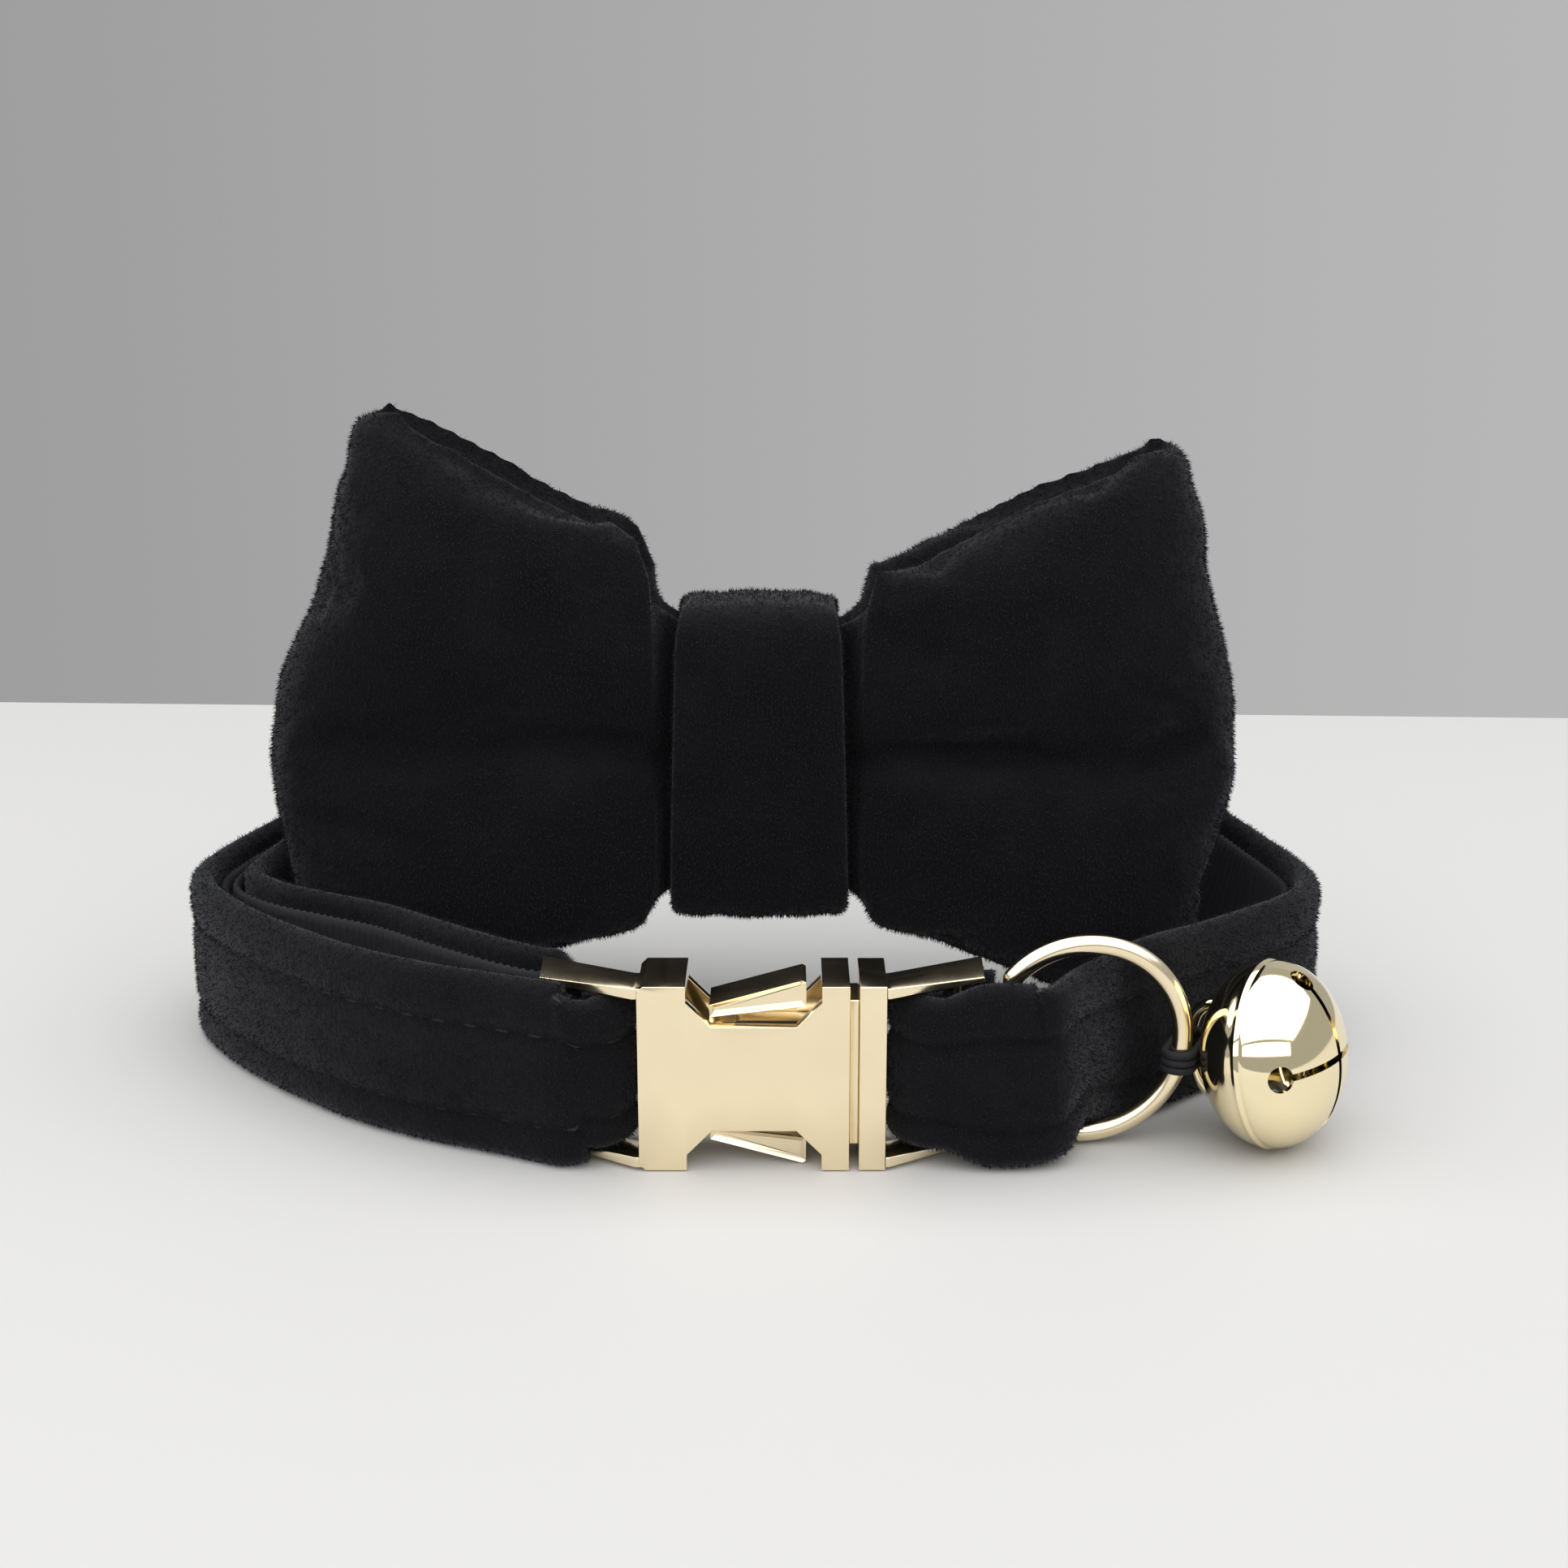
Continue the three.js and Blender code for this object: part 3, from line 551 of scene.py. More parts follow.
# %% [markdown]
# A band is modelled straight, like cloth on a table, and then laid along the route. X is the length
# along it, Y is the depth outwards from the strap's middle, and Z is the rise from its centre line.

# %% Lay a straight piece along the route
def on_route(values, at):
    """Smooth values between the rings, at these lengths along the route."""
    length = route["length"]
    i = np.clip(np.searchsorted(length, at) - 1, 0, len(length) - 2)
    gap = length[i + 1] - length[i]
    t = (at - length[i]) / gap
    slope = np.gradient(values, length, axis=0)
    if values.ndim > 1:
        t, gap = t[:, None], gap[:, None]
    return (
        (2 * t**3 - 3 * t**2 + 1) * values[i]
        + (t**3 - 2 * t**2 + t) * gap * slope[i]
        + (3 * t**2 - 2 * t**3) * values[i + 1]
        + (t**3 - t**2) * gap * slope[i + 1]
    )


def frame_at(at):
    """Middle, outward and upward directions and width share at these lengths."""
    small = 0.1 * MM
    middle = on_route(route["middle"], at)
    before = on_route(route["middle"], np.clip(at - small, 0, ROUTE_LENGTH))
    after = on_route(route["middle"], np.clip(at + small, 0, ROUTE_LENGTH))
    ahead = after - before
    ahead /= np.linalg.norm(ahead, axis=1, keepdims=True)
    up = on_route(route["up"], at)
    up -= ahead * np.sum(up * ahead, axis=1, keepdims=True)
    up /= np.linalg.norm(up, axis=1, keepdims=True)
    return middle, np.cross(ahead, up), up, on_route(route["width"], at) / STRAP_WIDTH


def lay_along(piece):
    """Moves a straight piece's corners onto the route, and keeps their flat places as a UV map."""
    flat = corners(piece)
    middle, out, up, share = frame_at(np.clip(flat[:, 0], 0, ROUTE_LENGTH))
    set_corners(piece, middle + out * flat[:, 1:2] + up * flat[:, 2:3] * share[:, None])
    uv = piece.data.uv_layers.active or piece.data.uv_layers.new(name="UVMap")
    loops = np.empty(len(piece.data.loops), dtype=np.int64)
    piece.data.loops.foreach_get("vertex_index", loops)
    uv.data.foreach_set("uv", flat[loops][:, [0, 2]].ravel())


def outwards(piece):
    in_edit_mode(piece, lambda: bpy.ops.mesh.normals_make_consistent(inside=False))


# %% [markdown]
# ## Velvet strap
# The velvet is wrapped round a soft core and topstitched along both edges. The rows of stitches pull
# it in, so its face is three soft lanes. One short slice is shaped from a cylinder, repeated along
# the whole length by an array, and then laid along the route.

# %% Velvet strap
UPPER_ROW = 3.2 * MM
LOWER_ROW = -4.3 * MM
ROW_DIP = 0.42 * MM
ROW_REACH = 0.55 * MM
LANE_SWELL = 0.18 * MM
EDGE_ROUND = 1.1 * MM
SLICE = 0.6 * MM
STRAP_POINTS = 56


def strap_face(rise):
    """How far the velvet's face stands out from the strap's middle at this rise."""
    half_width, half_depth = STRAP_WIDTH / 2, STRAP_THICKNESS / 2
    edge = np.clip((half_width - np.abs(rise)) / EDGE_ROUND, 0, 1)
    round_edge = np.sqrt(1 - (1 - edge) ** 2)
    dip = sum(np.exp(-(((rise - row) / ROW_REACH) ** 2)) for row in (UPPER_ROW, LOWER_ROW))
    return half_depth * round_edge + LANE_SWELL * edge - ROW_DIP * dip


def straight_band(name, slice_length, count, points, profile):
    """A closed band along X: one slice of a cylinder, reshaped by profile and repeated."""
    bpy.ops.mesh.primitive_cylinder_add(
        vertices=points, radius=1, depth=slice_length, end_fill_type="NOTHING",
        location=(slice_length / 2, 0, 0), rotation=(0, math.pi / 2, 0),
    )
    piece = start_piece(name)
    flat = corners(piece)
    angle = np.arctan2(flat[:, 2], flat[:, 1])
    flat[:, 1], flat[:, 2] = profile(angle)
    set_corners(piece, flat)
    modify(
        piece, "ARRAY", count=count, use_relative_offset=False, use_constant_offset=True,
        constant_offset_displace=(slice_length, 0, 0), use_merge_vertices=True, merge_threshold=0.01 * MM,
    )
    in_edit_mode(
        piece,
        lambda: bpy.ops.mesh.select_all(action="DESELECT"),
        lambda: bpy.ops.mesh.select_non_manifold(),
        lambda: bpy.ops.mesh.fill_holes(sides=points),
    )
    return piece


def strap_profile(angle):
    """Depth and rise round the strap: evenly spread points on a flat oval."""
    rise = STRAP_WIDTH / 2 * np.sign(np.sin(angle)) * np.abs(np.sin(angle)) ** 0.8
    outer = strap_face(rise)
    return np.where(np.cos(angle) > 0, outer, -STRAP_THICKNESS / 2 * np.clip(outer / MM, 0, 1)), rise


slices = int(ROUTE_LENGTH / SLICE)
strap = straight_band("strap_velvet", ROUTE_LENGTH / slices, slices, STRAP_POINTS, strap_profile)
lay_along(strap)
outwards(strap)
smooth(strap)
dress(strap, velvet, ["collar_strap"])

# %% [markdown]
# ## Topstitching
# A machine stitch is a short length of thread that dives into the cloth at both ends. One stitch is a
# small cylinder with pinched ends. An array repeats it at the stitch pitch along both rows.

# %% Stitches
STITCH_PITCH = 2.9 * MM
STITCH_LENGTH = 2.3 * MM
THREAD_RADIUS = 0.19 * MM
FOLD_LENGTH = 24 * MM
STITCH_SINK = 0.02 * MM
STITCH_DIVE = 0.25 * MM
STITCH_CUTS = (0.15, 0.35, 0.65, 0.85)
ROW_END = ROUTE_LENGTH - 1 * MM


def stitch_row(rise, start, end, name):
    """One row of stitches at this rise, from start to end along the route."""
    bpy.ops.mesh.primitive_cylinder_add(
        vertices=6, radius=THREAD_RADIUS, depth=STITCH_LENGTH,
        location=(start + STITCH_LENGTH / 2, 0, rise), rotation=(0, math.pi / 2, 0),
    )
    piece = start_piece(name)
    cut = dict(plane_no=(1, 0, 0), use_fill=False, clear_inner=False, clear_outer=False)
    for share in STITCH_CUTS:
        in_edit_mode(
            piece,
            lambda: bpy.ops.mesh.bisect(plane_co=(start + STITCH_LENGTH * share, 0, rise), **cut),
        )
    flat = corners(piece)
    share = (flat[:, 0] - start) / STITCH_LENGTH * 2 - 1
    plump = np.sqrt(np.clip(1 - share**2, 0.06, 1))
    surface = float(strap_face(np.array([rise]))[0])
    flat[:, 1] = surface - STITCH_SINK + flat[:, 1] * plump - STITCH_DIVE * share**2
    flat[:, 2] = rise + (flat[:, 2] - rise) * plump
    set_corners(piece, flat)
    modify(
        piece, "ARRAY", count=int((end - start) / STITCH_PITCH), use_relative_offset=False,
        use_constant_offset=True, constant_offset_displace=(STITCH_PITCH, 0, 0),
    )
    return piece


upper = stitch_row(UPPER_ROW, FOLD_LENGTH, ROW_END, "strap_stitches")
lower = stitch_row(LOWER_ROW, FOLD_LENGTH, ROW_END, "lower_stitches")
choose(upper)
lower.select_set(True)
bpy.ops.object.join()
stitches = bpy.context.object
lay_along(stitches)
outwards(stitches)
smooth(stitches)
dress(stitches, thread)

# %% [markdown]
# ## Webbing
# The strap is backed with narrow webbing, woven with a rib across it every 0.75 mm.
# Its edges show as a row of small knobs. One rib is modelled and repeated by an array.

# %% Webbing
RIB_PITCH = 0.75 * MM
WEBBING_NEAR = STRAP_THICKNESS / 2 + 0.3 * MM
WEBBING_THICKNESS = 0.8 * MM
WEBBING_WIDTH = 12.2 * MM
RIB_RISE = 0.09 * MM
RIB_KNOB = 0.010
WEBBING_POINTS = 20


def webbing_profile(angle):
    half = WEBBING_THICKNESS / 2
    rise = WEBBING_WIDTH / 2 * np.sign(np.sin(angle)) * np.abs(np.sin(angle)) ** 0.7
    depth = half * np.sign(np.cos(angle)) * np.abs(np.cos(angle)) ** 0.35
    return depth - WEBBING_NEAR - half, rise


HALF_RIBS = int(ROUTE_LENGTH / RIB_PITCH * 2)
webbing = straight_band("webbing", ROUTE_LENGTH / HALF_RIBS, HALF_RIBS, WEBBING_POINTS, webbing_profile)
flat = corners(webbing)
rib = np.cos(2 * math.pi * flat[:, 0] / (ROUTE_LENGTH / HALF_RIBS * 2))
middle_depth = -WEBBING_NEAR - WEBBING_THICKNESS / 2
flat[:, 1] += RIB_RISE * rib * np.sign(flat[:, 1] - middle_depth)
flat[:, 2] *= 1 + RIB_KNOB * rib
set_corners(webbing, flat)
lay_along(webbing)
outwards(webbing)
smooth(webbing, 50)
dress(webbing, ribbed, ["strap_webbing"])

# %% [markdown]
# ## Bow
# The bow is a stuffed velvet band. Cloth simulation shapes it as the maker's stuffing does: the CAD
# shape is remeshed evenly, air pressure swells it, and the knot and the crease across each wing are
# held. The work is done at ten times real size, where the cloth solver is steady.

# %% Bow shape before the stuffing
bow_low, bow_high = (np.array(c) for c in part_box("bow_loop"))
knot_low, knot_high = (np.array(c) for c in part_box("knot_band"))
BOW_X = (knot_low[0] + knot_high[0]) / 2
BOW_Y = (bow_low[1] + bow_high[1]) / 2
KNOT_HALF = (knot_high[0] - knot_low[0]) / 2
CREASE_SHARE = 0.505
CREASE_DEPTH = 2.0 * MM
CREASE_REACH = 1.0 * MM
BACK_GROW = 0.012
RIM_CLOSE = 0.3
SIM_SCALE = 10.0
VOXEL = 0.9 * MM
PRESSURE = 4.0
MOST_SWELL = 1.7 * MM
START_INSET = 0.6 * MM
SIM_FRAMES = 20
SPAN_WINDOW = 2.5 * MM
KNOT_FADE = 2.5 * MM
CREASE_HOLD = 1.1 * MM

bow = copy_of("bow_loop", "bow")
places = corners(bow)


def wing_span(points, bins=40):
    """Lowest and highest place of the bow at each distance from the knot, for each wing."""
    def at(x):
        near = places[np.abs(places[:, 0] - x) < SPAN_WINDOW]
        return near[:, 2].min(), near[:, 2].max()
    xs = np.linspace(bow_low[0], bow_high[0], bins)
    spans = np.array([at(x) for x in xs])
    return np.interp(points[:, 0], xs, spans[:, 0]), np.interp(points[:, 0], xs, spans[:, 1])


# How much fuller the cover is cut than the finished bow, because the stuffing rounds it off.
# Away: mm from the knot's edge. Left, right: mm added at each wing's upper edge. Bottom: mm added
# at both lower edges.
CUT_ROWS = (
    {"away": -1.5, "left": 0, "right": 0, "bottom": 0},
    {"away": -0.9, "left": 9.0, "right": 6.5, "bottom": 1.8},
    {"away": 0, "left": 9.0, "right": 5.6, "bottom": 1.8},
    {"away": 3, "left": 3.6, "right": 0.6, "bottom": 1.8},
    {"away": 5.3, "left": 2.5, "right": 0.9, "bottom": 1.5},
    {"away": 8, "left": 2.2, "right": 1.4, "bottom": 1.2},
    {"away": 13, "left": 2.4, "right": 2.2, "bottom": 0.6},
    {"away": 24, "left": 2.5, "right": 2.4, "bottom": 0.7},
    {"away": 34, "left": 2.2, "right": 2.2, "bottom": 1.0},
)
LEFT_TIP_REACH = 0.7 * MM
RIGHT_TIP_REACH = 1.8 * MM


def cut_fuller(points):
    """Moves the cover's edges out by the table, and the upper part of each wing's tip outwards."""
    low, high = wing_span(points)
    share = (points[:, 2] - low) / (high - low)
    side = np.sign(points[:, 0] - BOW_X)
    away = (np.abs(points[:, 0] - BOW_X) - KNOT_HALF) / MM
    rows = {name: [row[name] for row in CUT_ROWS] for name in CUT_ROWS[0]}
    on_left = np.interp(away, rows["away"], rows["left"])
    on_right = np.interp(away, rows["away"], rows["right"])
    up = np.where(side < 0, on_left, on_right) * np.clip(share * 2 - 1, 0, 1) ** 1.3
    down = np.interp(away, rows["away"], rows["bottom"]) * np.clip(1 - share * 2, 0, 1) ** 1.3
    fuller = points.copy()
    fuller[:, 2] += (up - down) * MM
    tip = np.clip((away - 14) / 14, 0, 1) * np.clip((share - 0.35) / 0.3, 0, 1)
    fuller[:, 0] += np.where(side < 0, -LEFT_TIP_REACH, RIGHT_TIP_REACH) * tip
    rim = np.clip(np.abs(share - 0.5) * 8 - 3, 0, 1) * np.clip(away / 4, 0, 1)
    fuller[:, 1] -= RIM_CLOSE * rim * (points[:, 1] - BOW_Y)
    return fuller


def shape_panels(points):
    """The back panel is cut a little larger than the front one, so its rim shows behind it."""
    back = np.clip((points[:, 1] - BOW_Y) / (3 * MM) * 0.5 + 0.5, 0, 1)
    wing = np.clip((np.abs(points[:, 0] - BOW_X) - KNOT_HALF) / (12 * MM), 0, 1)
    grow = BACK_GROW * back * wing
    shaped = points.copy()
    shaped[:, 0] += (points[:, 0] - BOW_X) * grow
    top = np.clip((points[:, 2] - 30 * MM) / (20 * MM), 0, 1)
    shaped[:, 2] += grow * top * 30 * MM
    low, high = wing_span(points)
    from_crease = (points[:, 2] - low - CREASE_SHARE * (high - low)) / CREASE_REACH
    off_middle = points[:, 1] - BOW_Y
    push = np.minimum(CREASE_DEPTH * np.exp(-(from_crease**2)), 0.6 * np.abs(off_middle))
    shaped[:, 1] -= push * np.sign(off_middle) * wing * np.where(off_middle < 0, 1, 0.5)
    return shaped


set_corners(bow, cut_fuller(shape_panels(places)))
places = corners(bow)
print("bow, mm:", np.round((places.max(axis=0) - places.min(axis=0)) / MM, 1))

# %% [markdown]
# The cap matters: a free balloon would round off every corner. No point may move further than the
# swell that the real stuffing gives.

# %% Stuff a piece
def stuff(piece, voxel, most, hold):
    """Remeshes the piece and swells it as cloth under pressure. hold gives each point's pinning."""
    piece.data.transform(Matrix.Scale(SIM_SCALE, 4))
    modify(piece, "REMESH", mode="VOXEL", voxel_size=voxel * SIM_SCALE, use_smooth_shade=True)
    started = corners(piece)
    started -= normals_of(piece) * START_INSET * SIM_SCALE
    set_corners(piece, started)
    held = piece.vertex_groups.new(name="held")
    for index, weight in enumerate(hold(started / SIM_SCALE)):
        if weight > 0:
            held.add([index], float(weight), "REPLACE")
    choose(piece)
    cloth = piece.modifiers.new("stuffing", "CLOTH")
    settings = cloth.settings
    settings.quality = 6
    settings.mass = 0.3
    settings.tension_stiffness = 12
    settings.compression_stiffness = 12
    settings.shear_stiffness = 4
    settings.bending_stiffness = 0.6
    settings.use_pressure = True
    settings.uniform_pressure_force = PRESSURE
    settings.vertex_group_mass = "held"
    settings.effector_weights.gravity = 0
    cloth.collision_settings.use_collision = False
    scene = bpy.context.scene
    for number in range(1, SIM_FRAMES + 1):
        scene.frame_set(number)
    swollen = piece.evaluated_get(bpy.context.evaluated_depsgraph_get())
    ended = np.empty(len(swollen.data.vertices) * 3)
    swollen.data.vertices.foreach_get("co", ended)
    move = ended.reshape(-1, 3) - started
    far = np.linalg.norm(move, axis=1, keepdims=True)
    limit = most * SIM_SCALE
    move *= np.minimum(1, limit / np.maximum(far, 1e-9))
    piece.modifiers.remove(cloth)
    scene.frame_set(1)
    set_corners(piece, started + move)
    piece.vertex_groups.clear()
    piece.data.transform(Matrix.Scale(1 / SIM_SCALE, 4))
    print(f"{piece.name}: {len(started)} points, mean swell {far.mean() / SIM_SCALE / MM:.2f} mm")


def hold_bow(points):
    """1 where the knot grips the bow and along the crease, fading to 0."""
    low, high = wing_span(points)
    crease = low + CREASE_SHARE * (high - low)
    away = np.abs(points[:, 0] - BOW_X) - KNOT_HALF
    knot = np.clip(1 - away / KNOT_FADE, 0, 1)
    fold = np.clip(1.2 - np.abs(points[:, 2] - crease) / CREASE_HOLD, 0, 1)
    return np.maximum(knot, fold)


stuff(bow, VOXEL, MOST_SWELL, hold_bow)
modify(bow, "SMOOTH", factor=0.5, iterations=3)
modify(bow, "SUBSURF", levels=1, render_levels=1)
smooth(bow)
dress(bow, velvet, ["bow_loop"])

# %% [markdown]
# ## Knot
# The knot is a folded velvet band drawn tight round the bow. It starts from the CAD band, which is
# subdivided until it is round, and soft pleats run down its face from the way it is drawn in.

# %% Knot
PLEAT_DEPTH = 0.22 * MM
PLEAT_WAVER = 0.4 * MM
WAVER_LENGTH = 5 * MM
# Each pleat's place from the knot's middle, its half width and its strength.
PLEATS = ((-3.9 * MM, 1.1 * MM, 1.0), (1.6 * MM, 1.5 * MM, 0.7), (5.2 * MM, 0.9 * MM, 0.8))

knot = copy_of("knot_band", "knot")
in_edit_mode(knot, lambda: bpy.ops.mesh.tris_convert_to_quads())
modify(knot, "SUBSURF", levels=3, render_levels=3)
places = corners(knot)
waver = PLEAT_WAVER * np.sin(places[:, 2] / WAVER_LENGTH)
pleat = sum(
    strength * np.exp(-(((places[:, 0] - BOW_X - x - waver) / wide) ** 2))
    for x, wide, strength in PLEATS
)
set_corners(knot, places - normals_of(knot) * PLEAT_DEPTH * pleat[:, None])
smooth(knot)
dress(knot, velvet, ["knot_band"])

# %% [markdown]
# ## Elastic behind the knot
# A flat elastic loop is sewn behind the knot and holds the strap. It is copied from its node and
# rounded by subdivision.

# %% Elastic
elastic = copy_of("bow_elastic", "elastic")
in_edit_mode(elastic, lambda: bpy.ops.mesh.tris_convert_to_quads())
modify(elastic, "SUBSURF", levels=2, render_levels=2)
smooth(elastic)
dress(elastic, thread, ["bow_elastic"])

# %% [markdown]
# ## Buckle
# The buckle is cast in zinc and plated. Its solids come from the CAD frame as they are. Their joined
# faces are cleaned of needless edges, and a small bevel rounds every corner, as polishing does.

# %% Buckle and slide
CORNER_RADIUS = 0.18 * MM
TAB_RIM = 0.4 * MM
TAB_SUNK = 0.3 * MM
TAB_RADIUS = 0.08 * MM


def sink_front(piece):
    """Insets the flat front face and lowers it, as on a pressed tab."""
    front = max(piece.data.polygons, key=lambda face: -face.normal.y * face.area)
    for face in piece.data.polygons:
        face.select = face.index == front.index
    bpy.ops.object.mode_set(mode="EDIT")
    bpy.ops.mesh.select_mode(type="FACE")
    bpy.ops.mesh.inset(thickness=TAB_RIM, depth=-TAB_SUNK)
    bpy.ops.object.mode_set(mode="OBJECT")


def cast_metal(node_name, name, radius, sunk):
    """A metal node's copy with clean faces and polished corners."""
    piece = copy_of(node_name, name)
    in_edit_mode(
        piece,
        lambda: bpy.ops.mesh.dissolve_limited(angle_limit=math.radians(0.5)),
        lambda: bpy.ops.mesh.select_all(action="DESELECT"),
    )
    if sunk:
        sink_front(piece)
    modify(
        piece, "BEVEL", width=radius, segments=3, limit_method="ANGLE",
        angle_limit=math.radians(25), use_clamp_overlap=True, miter_outer="MITER_ARC",
    )
    smooth(piece, 40)
    dress(piece, champagne, [node_name])


cast_metal("buckle_female", "buckle_body", CORNER_RADIUS, sunk=False)
cast_metal("buckle_male", "buckle_tongue", CORNER_RADIUS, sunk=False)
cast_metal("release_tab_top", "release_tab_upper", TAB_RADIUS, sunk=True)
cast_metal("release_tab_bottom", "release_tab_lower", TAB_RADIUS, sunk=True)
cast_metal("strap_slide", "slide", CORNER_RADIUS, sunk=False)

# %% [markdown]
# ## Ring
# The ring is bent from round wire, with a short straight bar that the strap holds. It starts as a
# torus, and the part past the bar's ends is pushed flat.

# %% Ring
ring_low, ring_high = (np.array(c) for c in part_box("d_ring"))
RING_WIRE = 1.6 * MM
RING_YAW = math.radians(5)
RING_BAR_ANGLE = math.radians(138)
ring_radius = (ring_high[2] - ring_low[2]) / 2 - RING_WIRE / 2
ring_x = ring_high[0] - RING_WIRE / 2 - ring_radius * math.cos(RING_YAW)
ring_y = ring_high[1] - RING_WIRE / 2 - ring_radius * math.sin(RING_YAW)
ring_z = (ring_low[2] + ring_high[2]) / 2

bpy.ops.mesh.primitive_torus_add(
    major_radius=ring_radius, minor_radius=RING_WIRE / 2, major_segments=120, minor_segments=24,
    rotation=(math.pi / 2, 0, 0),
)
ring = start_piece("ring_wire")
places = corners(ring)
angle = np.arctan2(places[:, 2], places[:, 0])
spoke = np.stack([np.cos(angle), np.zeros(len(angle)), np.sin(angle)], axis=1)
from_wire = places - ring_radius * spoke
bar = np.abs(angle) > RING_BAR_ANGLE
bar_x = ring_radius * math.cos(RING_BAR_ANGLE)
places[bar, 0] = bar_x - np.linalg.norm(from_wire[bar][:, [0, 2]], axis=1) * np.sign(
    np.sum(from_wire[bar] * spoke[bar], axis=1)
)
set_corners(ring, places)
ring.data.transform(Matrix.Translation((ring_x, ring_y, ring_z)) @ Matrix.Rotation(RING_YAW, 4, "Z"))
outwards(ring)
smooth(ring)
dress(ring, champagne, ["d_ring"])

# %% [markdown]
# ## Bell
# The bell is two thin cups crimped together, with two slots that cross at its end and a round hole
# where each slot stops. It starts as a sphere, is given its wall by Solidify, and the slots are cut
# by a boolean. The solder loop is a round wire bent like a staple.

# %% Bell shell
bell_low, bell_high = (np.array(c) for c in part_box("bell"))
pea_low, pea_high = (np.array(c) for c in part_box("bell_pea"))
BELL_RADIUS = 7.5 * MM
BELL_HALF = 5.45 * MM
BELL_WALL = 0.5 * MM
BELL_YAW = math.radians(34)
BELL_PITCH = math.radians(10)
SLOT_WIDTH = 0.55 * MM
SLOT_REACH = 0.84
HOLE_RADIUS = 1.05 * MM
CRIMP_BACK = -0.15 * MM
CRIMP_RISE = 0.1 * MM
CRIMP_REACH = 0.2 * MM
LIP_AHEAD = 0.33 * MM
LIP_REACH = 0.12 * MM
HOLE_RISE = 0.58
HOLE_TILT = 0.62
CUT_RISE = 1.16
LOOP_WIRE = 1.0 * MM
bell_rise = math.hypot(BELL_RADIUS * math.cos(BELL_PITCH), BELL_HALF * math.sin(BELL_PITCH))
bell_centre = Vector((*((pea_low + pea_high) / 2)[:2], bell_low[2] + bell_rise))
# The bell is modelled with its axis along Z, its slots at the top, and then turned to its place.
bell_turn = (
    Matrix.Translation(bell_centre)
    @ Matrix.Rotation(-BELL_YAW, 4, "Z")
    @ Matrix.Rotation(math.pi / 2 - BELL_PITCH, 4, "Y")
)

bpy.ops.mesh.primitive_uv_sphere_add(segments=128, ring_count=96, radius=BELL_RADIUS)
bell = start_piece("bell_shell")
places = corners(bell)
places[:, 2] *= BELL_HALF / BELL_RADIUS
crimp = np.exp(-(((places[:, 2] - CRIMP_BACK) / CRIMP_REACH) ** 2))
lip = np.exp(-(((places[:, 2] - CRIMP_BACK - LIP_AHEAD) / LIP_REACH) ** 2))
places[:, :2] *= (1 + (CRIMP_RISE * crimp - 0.5 * CRIMP_RISE * lip) / BELL_RADIUS)[:, None]
set_corners(bell, places)
modify(bell, "SOLIDIFY", thickness=BELL_WALL, offset=-1)


def cutter_block(width, deep):
    bpy.ops.mesh.primitive_cube_add(size=1, location=(0, 0, BELL_HALF))
    piece = start_piece("cutter")
    middle = np.array([0, 0, BELL_HALF])
    set_corners(piece, (corners(piece) - middle) * [width, deep, BELL_HALF * CUT_RISE] + middle)
    return piece


reach = 2 * BELL_RADIUS * SLOT_REACH
cutters = [cutter_block(reach, SLOT_WIDTH), cutter_block(SLOT_WIDTH, reach)]
for turn in range(4):
    along = Vector((math.cos(turn * math.pi / 2), math.sin(turn * math.pi / 2), 0))
    spot = along * BELL_RADIUS * SLOT_REACH + Vector((0, 0, BELL_HALF * HOLE_RISE))
    facing = Vector((along.x / BELL_RADIUS, along.y / BELL_RADIUS, HOLE_TILT / BELL_HALF))
    bpy.ops.mesh.primitive_cylinder_add(
        vertices=32, radius=HOLE_RADIUS, depth=4 * MM, location=spot,
        rotation=facing.to_track_quat("Z", "Y").to_euler(),
    )
    cutters.append(start_piece("cutter"))
for cutter in cutters:
    modify(bell, "BOOLEAN", operation="DIFFERENCE", solver="EXACT", object=cutter)
    bpy.data.objects.remove(cutter)
bell.data.transform(bell_turn)
smooth(bell, 35)
dress(bell, bright_gold, ["bell"])

# %% [markdown]
# The loop is one short piece of wire, bent and soldered to the shell at both feet. It starts as a
# curve with a round section and is turned into a mesh.

# %% Solder loop
LOOP_SPAN = 8 * MM
LOOP_STAND = 1.7 * MM
LOOP_POINTS = 25


def wire(name, points, diameter):
    """A round wire through these points, as a mesh with its own UV map."""
    line = bpy.data.curves.new(name, "CURVE")
    line.dimensions = "3D"
    line.bevel_depth = diameter / 2
    line.bevel_resolution = 5
    line.use_fill_caps = True
    spline = line.splines.new("POLY")
    spline.points.add(len(points) - 1)
    for point, place in zip(spline.points, points):
        point.co = (*place, 1)
    piece = bpy.data.objects.new(name, line)
    bpy.context.scene.collection.objects.link(piece)
    choose(piece)
    bpy.ops.object.convert(target="MESH")
    return bpy.context.object


FOOT_DEEP = BELL_HALF * math.sqrt(1 - (LOOP_SPAN / 2 / BELL_RADIUS) ** 2) - BELL_WALL / 2
LOOP_TOP = BELL_HALF + LOOP_STAND
loop_points = []
for i in range(LOOP_POINTS):
    turn = math.pi * i / (LOOP_POINTS - 1)
    stand = FOOT_DEEP + (LOOP_TOP - FOOT_DEEP) * math.sin(turn) ** 0.8
    loop_points.append((LOOP_SPAN / 2 * math.cos(turn), 0, -stand))
loop = wire("bell_loop", loop_points, LOOP_WIRE)
loop.data.transform(bell_turn)
smooth(loop)
dress(loop, bright_gold)

# %% [markdown]
# The pea that makes the sound is a plain steel ball, loose in the shell.

